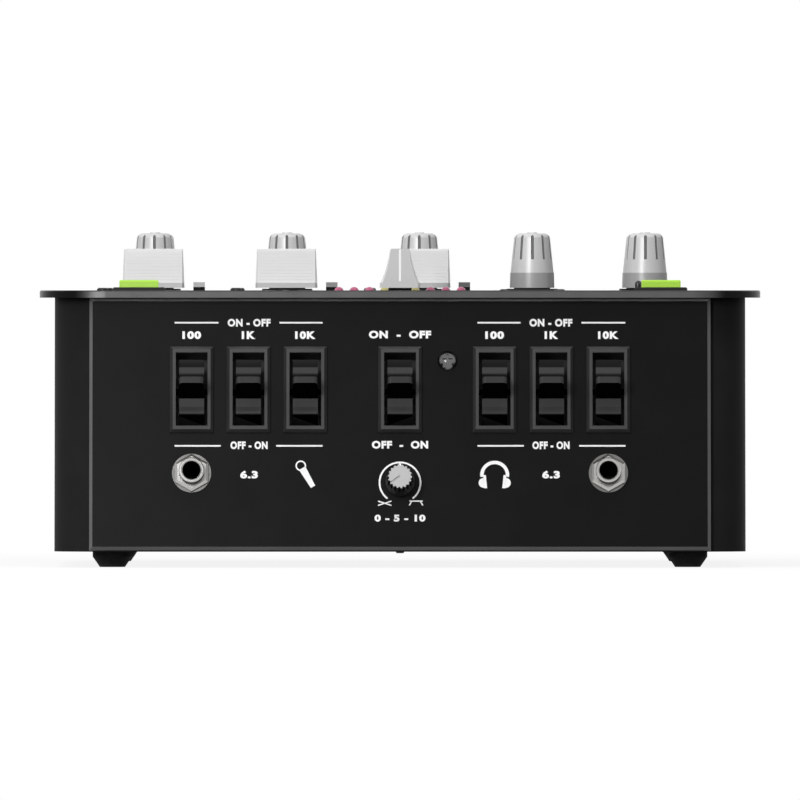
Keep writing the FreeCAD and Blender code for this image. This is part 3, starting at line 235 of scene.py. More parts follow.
def metal(name, tone, roughness, grain=900.0, relief=0.006, stretch=(1.0, 1.0, 1.0)):
    """Bare or plated metal with fine scratches and uneven polish."""
    made = new_material(name, tone, roughness, metallic=1.0)
    cloud = noise(made, 150.0)
    vary_color(made, cloud, [c * 0.93 for c in tone], [min(1.0, c * 1.05) for c in tone])
    vary_roughness(made, cloud, roughness * 0.85, roughness * 1.15)
    add_bump(made, noise(made, grain, detail=4.0, stretch=stretch), relief)
    return made


# Finishes

def case_paint():
    """Black powder coat with a fine orange-peel grain."""
    return moulded("case_paint", grey(0.016), roughness=0.5, grain=1500.0, relief=0.012,
                   specular=0.02)


def panel_paint():
    """Smooth satin black paint on the front panel."""
    return moulded("panel_paint", grey(0.0015), roughness=0.34, grain=2600.0, relief=0.004,
                   specular=0.09)


def edge_metal():
    """Dark anodised metal on the plate's machined edge, with painted shade that darkens it towards both
    ends, round the corners and along the sides, standing in for dark reflections there.
    """
    made = metal("edge_metal", grey(EDGE_BRIGHT), roughness=0.32, grain=700.0, stretch=(0.08, 1.0, 1.0))
    tree = made.node_tree
    shader = shader_of(made)
    place = tree.nodes.new("ShaderNodeTexCoord")
    axes = tree.nodes.new("ShaderNodeSeparateXYZ")
    tree.links.new(place.outputs["Object"], axes.inputs["Vector"])
    across = tree.nodes.new("ShaderNodeMath")
    across.operation = "ABSOLUTE"
    tree.links.new(axes.outputs["X"], across.inputs[0])
    # Painted shade: beyond EDGE_FADE_FROM across, the edge's tone falls to a share of itself
    corner_painted_shade = ranged(tree, across.outputs["Value"], EDGE_FADE_FROM * MM, EDGE_FADE_TO * MM,
                    1.0, EDGE_PAINTED_SHADE_SHARE)
    shade = tree.nodes.new("ShaderNodeMix")
    shade.data_type = "RGBA"
    shade.blend_type = "MULTIPLY"
    shade.inputs["Factor"].default_value = 1.0
    tree.links.new(shader.inputs["Base Color"].links[0].from_socket, shade.inputs["A"])
    tree.links.new(corner_painted_shade, shade.inputs["B"])
    tree.links.new(shade.outputs["Result"], shader.inputs["Base Color"])
    return made


def bevel_paint(name, tone):
    """A lighter grey on the panel's bevelled rim: a painted highlight along its edges."""
    return moulded(name, grey(tone), roughness=0.45, grain=700.0, relief=0.003, specular=0.4)


def frame_plastic():
    return moulded("frame_plastic", grey(0.045), roughness=0.4, grain=2200.0, relief=0.005,
                   specular=0.22)


def frame_bevel():
    """The frames' side and bottom bevels, darker and duller than their front and top: painted shade."""
    return moulded("frame_bevel", grey(0.024), roughness=0.5, grain=2200.0, relief=0.005,
                   specular=0.1)


def rocker_plastic(name="rocker_plastic", tone=0.02, roughness=0.3, specular=0.27):
    return moulded(name, grey(tone), roughness, grain=900.0, relief=0.002, specular=specular)


def matt_black():
    """Dull black standing in for shade: painted shade on the rockers' undersides, on the walls of the
    screw's recess and on the rocker pins in their gaps.
    """
    return moulded("matt_black", grey(0.0015), roughness=0.7, specular=0.0)


def trim_plastic():
    return moulded("trim_plastic", grey(0.006), roughness=0.5, specular=0.25)


def rubber():
    return moulded("rubber", grey(0.085), roughness=0.72, grain=1200.0, relief=0.03, specular=0.05)


def screw_black():
    return moulded("screw_black", grey(0.006), roughness=0.26, grain=1400.0, relief=0.003,
                   specular=0.45)


def screw_nickel():
    return metal("screw_nickel", grey(0.14), roughness=0.2, relief=0.0005)


def nickel(name="nickel", tone=0.37, roughness=0.26):
    """Nickel plate, a little warm."""
    return metal(name, (tone, tone * 0.99, tone * 0.96), roughness, relief=0.0001)


def steel():
    return metal("steel", (0.46, 0.46, 0.47), roughness=0.36, stretch=(1.0, 1.0, 0.1))


def brass():
    return metal("brass", (0.62, 0.46, 0.2), roughness=0.33)


def knob_silver(name, tone, roughness=0.38):
    """Satin silver paint: a grey coat with fine metallic flakes."""
    made = new_material(name, grey(tone), roughness, metallic=0.12)
    flakes = noise(made, 4200.0, detail=1.0)
    vary_color(made, flakes, grey(tone * 0.96), grey(min(1.0, tone * 1.03)))
    vary_roughness(made, flakes, roughness - 0.02, roughness + 0.02)
    add_bump(made, flakes, 0.001)
    return made


def fader_silver(name, tone):
    """Pale silver coat on the fader caps, with faint lines along the length."""
    made = new_material(name, grey(tone), roughness=0.4, metallic=0.1)
    lines = noise(made, 700.0, detail=2.0, stretch=(0.05, 0.05, 1.0))
    vary_color(made, lines, grey(tone * 0.993), grey(tone * 1.007))
    vary_roughness(made, noise(made, 300.0), 0.37, 0.43)
    add_bump(made, noise(made, 3800.0, detail=1.0), 0.002)
    return made


def lime_plastic():
    """Translucent lime plastic of the two large buttons."""
    made = new_material("lime_plastic", (0.4, 0.71, 0.046), roughness=0.36)
    shader = shader_of(made)
    shader.inputs["Subsurface Weight"].default_value = 0.25
    shader.inputs["Subsurface Radius"].default_value = (0.6, 1.0, 0.3)
    shader.inputs["Subsurface Scale"].default_value = 0.001
    cloud = noise(made, 240.0)
    vary_color(made, cloud, (0.39, 0.7, 0.044), (0.41, 0.72, 0.048))
    vary_roughness(made, cloud, 0.3, 0.36)
    add_bump(made, noise(made, 2000.0, detail=2.0), 0.004)
    return made


def lamp_plastic(name, color):
    """A tinted lamp lens."""
    made = new_material(name, color, roughness=0.18)
    shader = shader_of(made)
    shader.inputs["Coat Weight"].default_value = 0.25
    shader.inputs["Coat Roughness"].default_value = 0.1
    cloud = noise(made, 900.0)
    vary_color(made, cloud, [c * 0.85 for c in color], [min(1.0, c * 1.15) for c in color])
    vary_roughness(made, cloud, 0.14, 0.22)
    return made


def white_ink(name="white_ink", tone=0.96):
    """Screen-printed white with slightly uneven cover."""
    made = new_material(name, grey(tone), roughness=0.5)
    cover = noise(made, 2400.0, detail=4.0)
    vary_color(made, cover, grey(tone * 0.92), grey(min(1.0, tone * 1.05)))
    vary_roughness(made, noise(made, 500.0), 0.45, 0.58)
    add_bump(made, cover, 0.004)
    return made


def socket_plastic(name, color):
    return moulded(name, color, roughness=0.35, grain=1500.0, relief=0.004)


def board_laminate():
    """Green board with darker tracks."""
    made = new_material("board_laminate", (0.012, 0.06, 0.03), roughness=0.4)
    tracks = noise(made, 320.0, detail=0.0, stretch=(1.0, 0.12, 1.0))
    vary_color(made, tracks, (0.009, 0.05, 0.024), (0.022, 0.1, 0.045))
    vary_roughness(made, tracks, 0.34, 0.46)
    add_bump(made, tracks, 0.02)
    return made


# Dressing the solids

def dress(node, finish, *choices):
    """Gives a node its finish, and other finishes to the faces that a test picks."""
    mesh = NODES[node].data
    mesh.materials.clear()
    mesh.materials.append(finish)
    for made, _ in choices:
        mesh.materials.append(made)
    for face in mesh.polygons:
        face.material_index = 0
        for index, (_, picks) in enumerate(choices):
            if picks(face.center / MM, face.normal):
                face.material_index = index + 1


def panel_frame():
    """Matrix from the panel's own frame, in metres, to the scene: -Y is out, +Z up the slope."""
    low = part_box("front_panel")[0]
    y = low.y - PANEL_BEVEL * MM * math.sin(PANEL_TILT)
    z = low.z + PANEL_THICK * MM * math.sin(PANEL_TILT)
    return Matrix.Translation((0.0, y, z)) @ Matrix.Rotation(-PANEL_TILT, 4, "X")


PANEL = panel_frame()
PANEL_BACK = PANEL.inverted()


def on_panel(point):
    """A scene point in the panel's own frame, in millimetres."""
    return PANEL_BACK @ (point * MM) / MM


def out_of_panel(normal):
    """How far a direction points straight out of the front panel, from -1 to 1."""
    return -(PANEL_BACK.to_3x3() @ normal).y


def up_panel(normal):
    """How far a direction points up the slope of the front panel, from -1 to 1."""
    return (PANEL_BACK.to_3x3() @ normal).z


def is_plate_edge(point, normal):
    """Faces of the outer rim of the top plate."""
    low, high = (corner / MM for corner in PLATE_BOX)
    reach_x = high.x - abs(point.x)
    reach_y = min(point.y - low.y, high.y - point.y)
    if reach_x > PLATE_CORNER_R or reach_y > PLATE_CORNER_R:
        return min(reach_x, reach_y) < EDGE_BAND and abs(normal.z) < FACES_ALONG
    radius = math.hypot(PLATE_CORNER_R - reach_x, PLATE_CORNER_R - reach_y)
    return radius > PLATE_CORNER_R - EDGE_CORNER_BAND and abs(normal.z) < FACES_ALONG


def is_panel_bevel(point, normal):
    return between(out_of_panel(normal), BEVEL_OUT)


def is_panel_top_bevel(point, normal):
    return is_panel_bevel(point, normal) and up_panel(normal) > FACES_UP


def dress_case():
    paint = case_paint()
    edge = edge_metal()
    dress("chassis_tray", paint)
    dress("rear_panel", paint)
    dress("top_plate", paint, (edge, is_plate_edge))
    # Painted light on the panel's rim: the bevels are lighter than the panel as a painted highlight,
    # and the top bevel, in the plate's shadow, lighter still
    dress("front_panel", panel_paint(), (bevel_paint("bevel_side_painted_highlight", 0.1), is_panel_bevel),
          (bevel_paint("bevel_top_painted_light", 0.4), is_panel_top_bevel))
    dress("rubber_feet", rubber())


def dress_inside():
    board = board_laminate()
    plate = steel()
    dress("main_board", board)
    dress("front_board", board)
    dress("board_standoffs", brass())
    dress("control_bodies", plate)
    dress("fader_bodies", plate)
    stem = trim_plastic()
    # The rocker pins get the painted shade black, so that the gaps beside the rockers stay dark
    dress("rocker_pins", matt_black())
    for name in ["crossfader_carriage"] + [f"fader_carriage_{i}" for i in (1, 2, 3)]:
        dress(name, stem)


def dress_screws():
    black = screw_black()
    dress("top_plate_screws", black)
    dress("pan_head_screws", black)
    dark = matt_black()

    def is_recess(point, normal):
        return abs(out_of_panel(normal)) < RECESS_WALL_OUT
    # Painted shade: the walls of the screw's cross recess are black
    dress("front_panel_screw", screw_nickel(), (dark, is_recess))


def knob_names():
    names = [f"channel_{i}_{band}_knob" for i in (1, 2, 3) for band in BANDS]
    return names + [f"{group}_knob_{i}" for group in ("phones", "master") for i in (1, 2, 3)]


def side_radius(z):
    """Radius of a knob's tapered side at a height, between the flutes; none over the crown."""
    share = (z - PLATE_TOP - KNOB_LIFT - KNOB_BAND_HEIGHT) / (KNOB_SHOULDER_HEIGHT - KNOB_BAND_HEIGHT)
    if share > 1:
        return 0.0
    return KNOB_WAIST_R + (KNOB_SHOULDER_R - KNOB_WAIST_R) * share


def dress_knobs():
    silver = knob_silver("knob_silver", 0.58)
    band = knob_silver("knob_band", 0.36)
    groove = knob_silver("knob_groove_painted_shade", 0.15, roughness=0.6)
    shaft = steel()
    seam = PLATE_TOP + KNOB_LIFT + KNOB_BAND_HEIGHT

    def is_band(point, normal):
        return point.z < seam
    for name in knob_names():
        axis = middle_of(name)

        # Painted shade: the flutes get a darker, rougher copy of the silver
        def is_groove(point, normal, axis=axis):
            radius = math.hypot(point.x - axis.x, point.y - axis.y)
            return point.z > seam and side_radius(point.z) - radius > GROOVE_FROM

        def is_shaft(point, normal, axis=axis):
            radius = math.hypot(point.x - axis.x, point.y - axis.y)
            return radius < KNOB_SHAFT_R and point.z < seam + KNOB_SHAFT_RISE
        dress(name, silver, (band, is_band), (groove, is_groove), (shaft, is_shaft))
    dress("knob_rings", trim_plastic())


def dress_curve_knob():
    dark = trim_plastic()
    face = knob_silver("curve_face", 0.44)

    def is_face(point, normal):
        return -on_panel(point).y > CURVE_FACE_OUT
    dress("curve_knob", dark, (face, is_face))


def dress_faders():
    flank = fader_silver("fader_flank", 0.625)
    end = fader_silver("fader_end_painted_shade", 0.475)
    lip_top = PLATE_TOP + FADER_LIFT + FADER_LIP_HEIGHT

    def is_lip(point, normal):
        return point.z < lip_top

    def is_end_along_x(point, normal):
        return abs(normal.x) > FACES_ALONG

    def is_end_along_y(point, normal):
        return abs(normal.y) > FACES_ALONG
    # Painted shade: the caps' upright ends and the lips at their feet get a darker copy of the flank's
    # silver
    dress("crossfader_cap", flank, (end, is_end_along_y))
    for i in (1, 2, 3):
        dress(f"fader_cap_{i}", flank, (end, is_lip), (end, is_end_along_x))


def dress_buttons():
    lime = lime_plastic()
    dress("green_button_left", lime)
    dress("green_button_right", lime)
    dress("button_bezels", trim_plastic())
    black = trim_plastic()

    def is_plunger(point, normal):
        rise = PLUNGER_TOP_RISE if normal.z > FACES_UP else PLUNGER_RISE
        return point.z < PLATE_TOP + rise
    for i, tone in zip((1, 2, 3), SQUARE_TONES):
        cap = moulded(f"square_cap_{i}", grey(tone), roughness=0.35)
        dress(f"square_button_{i}", cap, (black, is_plunger))


def dress_lamps():
    red = lamp_plastic("lamp_red", (0.4, 0.075, 0.16))
    yellow = lamp_plastic("lamp_yellow", (0.42, 0.38, 0.13))
    green = lamp_plastic("lamp_green", (0.14, 0.4, 0.12))
    dark = lamp_plastic("lamp_dark", (0.012, 0.012, 0.013))

    def place(point):
        return abs(round(point.x / LAMP_PITCH))
    dress("indicator_lamps", red,
          (yellow, lambda point, normal: place(point) == 1),
          (green, lambda point, normal: place(point) == 0),
          (dark, lambda point, normal: point.x > POWER_LAMP_FROM_X))


def dress_rockers():
    def is_frame_side(point, normal):
        return between(out_of_panel(normal), FRAME_SIDE_OUT) and up_panel(normal) < FACES_UP
    # Painted shade: a darker copy of the frame plastic on the side and bottom bevels
    dress("rocker_frames", frame_plastic(), (frame_bevel(), is_frame_side))
    plastic = rocker_plastic()
    # Painted light on the rockers: above the fin, a darker copy of the plastic as painted shade; on the
    # upward scoop faces, a glossier copy as painted sheen
    crest = rocker_plastic("rocker_crest_painted_shade", tone=0.003, roughness=0.4, specular=0.12)
    scoop = rocker_plastic("rocker_scoop_painted_sheen", tone=0.006, roughness=0.24, specular=0.62)
    under = matt_black()

    def is_crest(point, normal):
        return normal.z > ROCKER_UNDER_Z and on_panel(point).z > ROCKER_TIP_UP

    def is_scoop(point, normal):
        return normal.z > ROCKER_SCOOP_Z and on_panel(point).z > ROCKER_TIP_UP

    # Painted shade: the faces under the rocker's fin are dull black
    def is_under(point, normal):
        return normal.z < ROCKER_UNDER_Z and on_panel(point).z > ROCKER_HEEL_UP
    names = [f"{side}_rocker_{i}" for side in ("left", "right") for i in (1, 2, 3)]
    for name in names + ["middle_rocker"]:
        dress(name, plastic, (crest, is_crest), (scoop, is_scoop), (under, is_under))


def dress_jacks():
    # Painted light on the jacks: the bevelled edges get a lighter copy of the nickel as painted
    # highlight, the sides a near-black copy as painted shade
    plated = nickel()
    bright = nickel("nickel_edge_painted_highlight", tone=0.52, roughness=0.3)
    shaded = nickel("nickel_side_painted_shade", tone=0.015, roughness=0.5)
    washer = nickel("nickel_washer", tone=0.16, roughness=0.26)
    black = trim_plastic()

    # Black inside the bore, as painted shade, and on the jack's plastic body behind the panel
    def is_black(point, normal):
        local = on_panel(point)
        radius = math.hypot(abs(local.x) - JACK_X, local.z - JACK_UP)
        return radius < JACK_BORE_R + JACK_SLACK or local.y > PANEL_THICK - JACK_BODY_DEPTH

    def is_edge(point, normal):
        return between(out_of_panel(normal), JACK_EDGE_OUT)

    def is_side(point, normal):
        return abs(out_of_panel(normal)) < JACK_EDGE_OUT[0] and not is_black(point, normal)

    def is_washer(point, normal):
        return on_panel(point).y > -JACK_WASHER_THICK - JACK_SLACK
    edges = ((bright, is_edge), (shaded, is_side))
    dress("jack_sockets", plated, *edges, (black, is_black))
    dress("jack_nuts_and_washers", plated, *edges, (washer, is_washer))


def dress_rear():
    plated = nickel()
    dress("phono_shells", plated)
    dress("ground_screw", plated)
    white = socket_plastic("phono_white", grey(0.62))
    red = socket_plastic("phono_red", (0.42, 0.012, 0.014))
    middle = middle_of("phono_inserts")
    dress("phono_inserts", white, (red, lambda point, normal: point.z < middle.z))
    axis = middle_of("dc_inlet")

    def is_pin(point, normal):
        return math.hypot(point.x - axis.x, point.z - axis.z) < INLET_PIN_REACH
    dress("dc_inlet", trim_plastic(), (plated, is_pin))


# Printing, drawn flat as (across, up) in millimetres and raised by the ink's thickness
INK_THICK = 0.03
INK_SUNK = 0.01
MITRE_LEAST = 0.4
WORDS_NARROW = 0.85


def add_solid(ink, outline):
    """A flat outline raised into a thin solid."""
    low = [ink.verts.new((u, v, -INK_SUNK)) for u, v in outline]
    high = [ink.verts.new((u, v, INK_THICK)) for u, v in outline]
    ink.faces.new(high)
    ink.faces.new(list(reversed(low)))
    count = len(outline)
    for i in range(count):
        j = (i + 1) % count
        ink.faces.new((low[i], low[j], high[j], high[i]))


def add_bar(ink, u0, v0, u1, v1):
    add_solid(ink, [(u0, v0), (u1, v0), (u1, v1), (u0, v1)])


def add_stroke(ink, points, width):
    """A line of even width through points, as one thin solid."""
    left, right = [], []
    last = len(points) - 1
    for i, point in enumerate(points):
        here = Vector(point)
        back = (here - Vector(points[max(i - 1, 0)])).normalized()
        ahead = (Vector(points[min(i + 1, last)]) - here).normalized()
        along = (back + ahead).normalized()
        share = max(MITRE_LEAST, along.dot(ahead if i < last else back))
        side = Vector((-along.y, along.x)) * (width / 2 / share)
        left.append(tuple(here + side))
        right.append(tuple(here - side))
    low_l = [ink.verts.new((*p, -INK_SUNK)) for p in left]
    low_r = [ink.verts.new((*p, -INK_SUNK)) for p in right]
    top_l = [ink.verts.new((*p, INK_THICK)) for p in left]
    top_r = [ink.verts.new((*p, INK_THICK)) for p in right]
    for i in range(last):
        ink.faces.new((top_r[i], top_r[i + 1], top_l[i + 1], top_l[i]))
        ink.faces.new((low_l[i], low_l[i + 1], low_r[i + 1], low_r[i]))
        ink.faces.new((top_l[i], top_l[i + 1], low_l[i + 1], low_l[i]))
        ink.faces.new((low_r[i], low_r[i + 1], top_r[i + 1], top_r[i]))
    ink.faces.new((low_r[0], top_r[0], top_l[0], low_l[0]))
    ink.faces.new((low_l[last], top_l[last], top_r[last], low_r[last]))


def arc(middle, radius, start, end, steps):
    """Points on a circle, angles in degrees clockwise from the top."""
    angles = [math.radians(start + (end - start) * i / steps) for i in range(steps + 1)]
    return [(middle[0] + radius * math.sin(a), middle[1] + radius * math.cos(a)) for a in angles]


def add_words(ink, words, u, v, height, width=None, bold=0.02, spacing=1.0):
    """Words centred on a point, scaled to a cap height and, if given, a width."""
    curve = bpy.data.curves.new("words", "FONT")
    curve.body = words
    curve.offset = bold
    curve.space_character = spacing
    curve.resolution_u = 4
    curve.extrude = 0.5
    holder = link(bpy.data.objects.new("words", curve))
    graph = bpy.context.evaluated_depsgraph_get()
    mesh = bpy.data.meshes.new_from_object(holder.evaluated_get(graph))
    bpy.data.objects.remove(holder)
    bpy.data.curves.remove(curve)
    xs = [vertex.co.x for vertex in mesh.vertices]
    ys = [vertex.co.y for vertex in mesh.vertices]
    scale_v = height / (max(ys) - min(ys))
    scale_u = width / (max(xs) - min(xs)) if width else scale_v * WORDS_NARROW
    middle = Vector(((max(xs) + min(xs)) / 2, (max(ys) + min(ys)) / 2, 0.0))
    depth = INK_THICK + INK_SUNK
    place = Matrix.Translation((u, v, (INK_THICK - INK_SUNK) / 2))
    sized = Matrix.Diagonal((scale_u, scale_v, depth, 1.0))
    mesh.transform(place @ sized @ Matrix.Translation(-middle))
    ink.from_mesh(mesh)
    bpy.data.meshes.remove(mesh)


def finish_mesh(made, name, matrix, finish, body):
    """Turns a drawing in millimetres into a piece that rides on a body."""
    bmesh.ops.remove_doubles(made, verts=made.verts, dist=1e-5)
    bmesh.ops.recalc_face_normals(made, faces=made.faces)
    mesh = bpy.data.meshes.new(name)
    made.to_mesh(mesh)
    made.free()
    mesh.transform(matrix @ Matrix.Scale(MM, 4))
    mesh.materials.append(finish)
    piece = link(bpy.data.objects.new(name, mesh))
    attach(piece, body)


# The sheets that are printed: from (across, up, out) to the scene
FRONT_SHEET = PANEL @ Matrix(((1, 0, 0, 0), (0, 0, -1, 0), (0, 1, 0, 0), (0, 0, 0, 1)))
TOP_SHEET = Matrix.Translation((0.0, 0.0, PLATE_TOP * MM))
REAR_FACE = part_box("rear_panel")[1].y
REAR_SHEET = Matrix.Translation((0.0, REAR_FACE, 0.0)) @ Matrix(
    ((-1, 0, 0, 0), (0, 0, 1, 0), (0, 1, 0, 0), (0, 0, 0, 1)))

# Words and rules on the front panel: heights, widths and the rules' ends
CAP_HEIGHT = 2.8
UPPER_UP = 81.17
BAND_UP = 76.73
LOWER_UP = 37.33
LOWER_RULE_UP = 37.13
JACK_WORD_UP = 26.87
CURVE_WORD_UP = 11.31
CURVE_WORD_HEIGHT = 2.5
MIDDLE_RAISE = 0.2
UPPER_WIDTH = 15.1
LOWER_WIDTH = 13.1
MIDDLE_UPPER_WIDTH = 21.9
MIDDLE_LOWER_WIDTH = 19.8
JACK_WORD_WIDTH = 6.2
CURVE_WORD_WIDTH = 17.9
BAND_WORDS = (("100", 6.6), ("1K", 4.8), ("10K", 7.2))
RULE_WIDTH = 0.58
RULE_FROM = 27.25
RULE_TO = 79.3
UPPER_GAP = (42.4, 63.9)
LOWER_GAP = (43.55, 63.05)

# Microphone: its ball and the handle's ends
MIC_BALL = (-34.9, 30.03)
MIC_BALL_R = 1.62
MIC_LINE = 0.5
MIC_NECK = 1.0
MIC_NECK_HALF = 1.28
MIC_END = (-30.6, 22.52)
MIC_END_HALF = 0.86

# Headphones: the band, the pads as (from the middle, up), and the ear cups
PHONES_X = 33.3
PHONES_UP = 26.7
PHONES_FOOT = 22.0
PHONES_BAND_R = 4.5
PHONES_BAND_TURN = 98
PHONES_BAND_WIDTH = 1.2
PHONES_PAD = ((4.1, PHONES_UP), (3.1, PHONES_UP), (2.65, PHONES_FOOT), (3.9, PHONES_FOOT))
EAR_X = 3.9
EAR_UP = 23.9
EAR_R = 1.75

# The small knob's arc, the mark at its top and the two slopes under its ends
ARC_R = 7.2
ARC_TURN = 142
ARC_WIDTH = 0.62
ARC_MARK_HALF = 0.4
ARC_MARK_FROM = 5.4
ARC_MARK_TO = 7.0
SLOPE_WIDTH = 0.42
SLOPE_LOW = 15.85
SLOPE_HIGH = 17.4
CROSSED_XS = (-7.7, -3.0)
FLAT_FOOT_XS = (3.3, 8.0)
FLAT_TOP_XS = (4.15, 7.1)


def add_label(ink, words, u, v, width, height=CAP_HEIGHT):
    """A heavy, narrow label."""
    add_words(ink, words, u, v, height, width, bold=0.055, spacing=1.14)


def print_switch_words(ink):
    """Labels and rules above and below the rockers."""
    for side in (-1, 1):
        add_label(ink, "ON - OFF", side * ROCKER_GROUP_X, UPPER_UP, UPPER_WIDTH)
        add_label(ink, "OFF - ON", side * ROCKER_GROUP_X, LOWER_UP, LOWER_WIDTH)
        for up, (inner, outer) in ((UPPER_UP, UPPER_GAP), (LOWER_RULE_UP, LOWER_GAP)):
            for near, far in ((RULE_FROM, inner), (outer, RULE_TO)):
                u0, u1 = sorted((side * near, side * far))
                add_bar(ink, u0, up - RULE_WIDTH / 2, u1, up + RULE_WIDTH / 2)
        from_left = sorted(side * x for x in ROCKER_GROUP_XS)
        for x, (words, width) in zip(from_left, BAND_WORDS):
            add_label(ink, words, x, BAND_UP, width)
    add_label(ink, "ON  -  OFF", 0.0, BAND_UP + MIDDLE_RAISE, MIDDLE_UPPER_WIDTH)
    add_label(ink, "OFF  -  ON", 0.0, LOWER_UP + MIDDLE_RAISE, MIDDLE_LOWER_WIDTH)


def print_microphone(ink):
    """A ball and a tapered handle."""
    add_stroke(ink, arc(MIC_BALL, MIC_BALL_R, 0, 360, steps=28), MIC_LINE)
    end = Vector(MIC_END)
    along = (end - Vector(MIC_BALL)).normalized()
    side = Vector((-along.y, along.x))
    neck = Vector(MIC_BALL) + along * MIC_NECK
    add_solid(ink, [tuple(neck + side * MIC_NECK_HALF), tuple(neck - side * MIC_NECK_HALF),
                    tuple(end - side * MIC_END_HALF), tuple(end + side * MIC_END_HALF)])


def print_headphones(ink):
    """A head band and two ear cups with their pads."""
    turn = PHONES_BAND_TURN
    add_stroke(ink, arc((PHONES_X, PHONES_UP), PHONES_BAND_R, -turn, turn, steps=30), PHONES_BAND_WIDTH)
    for side in (-1, 1):
        add_solid(ink, [(PHONES_X + side * u, v) for u, v in PHONES_PAD])
        add_solid(ink, arc((PHONES_X + side * EAR_X, EAR_UP), EAR_R, 0, side * 180, steps=12))


def print_curve_scale(ink):
    """The arc round the small knob and the two slopes that it chooses between."""
    add_stroke(ink, arc((0.0, CURVE_UP), ARC_R, -ARC_TURN, ARC_TURN, steps=64), ARC_WIDTH)
    add_bar(ink, -ARC_MARK_HALF, CURVE_UP + ARC_MARK_FROM, ARC_MARK_HALF, CURVE_UP + ARC_MARK_TO)
    low, high = SLOPE_LOW, SLOPE_HIGH
    left, right = CROSSED_XS
    add_stroke(ink, [(left, low), (right, high)], SLOPE_WIDTH)
    add_stroke(ink, [(left, high), (right, low)], SLOPE_WIDTH)
    left, right = FLAT_FOOT_XS
    add_stroke(ink, [(left, high), (right, high)], SLOPE_WIDTH)
    for top, foot in zip(FLAT_TOP_XS, FLAT_FOOT_XS):
        add_stroke(ink, [(top, high), (foot, low)], SLOPE_WIDTH)
    add_label(ink, "0 - 5 - 10", 0.0, CURVE_WORD_UP, CURVE_WORD_WIDTH, CURVE_WORD_HEIGHT)


def print_front(finish):
    ink = bmesh.new()
    print_switch_words(ink)
    for side in (-1, 1):
        add_label(ink, "6.3", side * ROCKER_GROUP_X, JACK_WORD_UP, JACK_WORD_WIDTH)
    print_microphone(ink)
    print_headphones(ink)
    print_curve_scale(ink)
    finish_mesh(ink, "front_print", FRONT_SHEET, finish, "case")


# Scales on the plate; lengths of ticks are (long, short)
SCALE_STEPS = 10
LONG_EVERY = 5
TICK_HALF = 0.22
DIAL_INNER = 10.4
DIAL_INNER_WIDE = 12.5
DIAL_TICKS = (2.4, 1.6)
DIAL_TICK_WIDTH = 0.45
DIAL_WORD_TURN = KNOB_TRAVEL + 6.0
DIAL_WORDS = (("0", -DIAL_WORD_TURN), ("10", DIAL_WORD_TURN))
DIAL_WORD_OUT = 4.4
DIAL_WORD_HEIGHT = 2.0
SLOT_GAP = 4.0
FADER_TICKS = (3.6, 2.2)
FADER_WORDS = (("0", -0.5), ("5", 0.0), ("10", 0.5))
FADER_WORD_X = 10.4
FADER_WORD_HEIGHT = 2.2
CROSSFADER_TICKS = (3.2, 2.0)
CHANNEL_WORD_BACK = 69.0
CHANNEL_WORD_HEIGHT = 3.6


def tick_length(i, lengths):
    return lengths[0] if i % LONG_EVERY == 0 else lengths[1]


def print_dial(ink, node, inner):
    """Ticks and end numbers round a knob."""
    middle = middle_of(node)
    for i in range(SCALE_STEPS + 1):
        angle = math.radians(-KNOB_TRAVEL + 2 * KNOB_TRAVEL * i / SCALE_STEPS)
        way = Vector((math.sin(angle), math.cos(angle)))
        start = Vector((middle.x, middle.y)) + way * inner
        end = start + way * tick_length(i, DIAL_TICKS)
        add_stroke(ink, [tuple(start), tuple(end)], DIAL_TICK_WIDTH)
    reach = inner + DIAL_WORD_OUT
    for words, angle in DIAL_WORDS:
        turn = math.radians(angle)
        u = middle.x + reach * math.sin(turn)
        v = middle.y + reach * math.cos(turn)
        add_words(ink, words, u, v, DIAL_WORD_HEIGHT)


def print_fader_scale(ink, x):
    """Ticks on both sides of a fader slot, and three numbers."""
    y = middle_of("fader_cap_1").y
    for i in range(SCALE_STEPS + 1):
        v = y - FADER_STROKE / 2 + FADER_STROKE * i / SCALE_STEPS
        reach = SLOT_GAP + tick_length(i, FADER_TICKS)
        for side in (-1, 1):
            u0, u1 = sorted((x + side * SLOT_GAP, x + side * reach))
            add_bar(ink, u0, v - TICK_HALF, u1, v + TICK_HALF)
    for words, share in FADER_WORDS:
        add_words(ink, words, x + FADER_WORD_X, y + FADER_STROKE * share, FADER_WORD_HEIGHT)


def print_crossfader_scale(ink):
    y = middle_of("crossfader_cap").y
    for i in range(SCALE_STEPS + 1):
        u = -FADER_STROKE / 2 + FADER_STROKE * i / SCALE_STEPS
        reach = SLOT_GAP + tick_length(i, CROSSFADER_TICKS)
        for side in (-1, 1):
            v0, v1 = sorted((y + side * SLOT_GAP, y + side * reach))
            add_bar(ink, u - TICK_HALF, v0, u + TICK_HALF, v1)


def print_top(finish):
    ink = bmesh.new()
    for name in knob_names():
        print_dial(ink, name, DIAL_INNER_WIDE if name == "phones_knob_1" else DIAL_INNER)
    for i in (1, 2, 3):
        x = middle_of(f"fader_cap_{i}").x
        print_fader_scale(ink, x)
        add_words(ink, str(i), x, PLATE_FRONT + CHANNEL_WORD_BACK, CHANNEL_WORD_HEIGHT)
    print_crossfader_scale(ink)
    finish_mesh(ink, "top_print", TOP_SHEET, finish, "case")


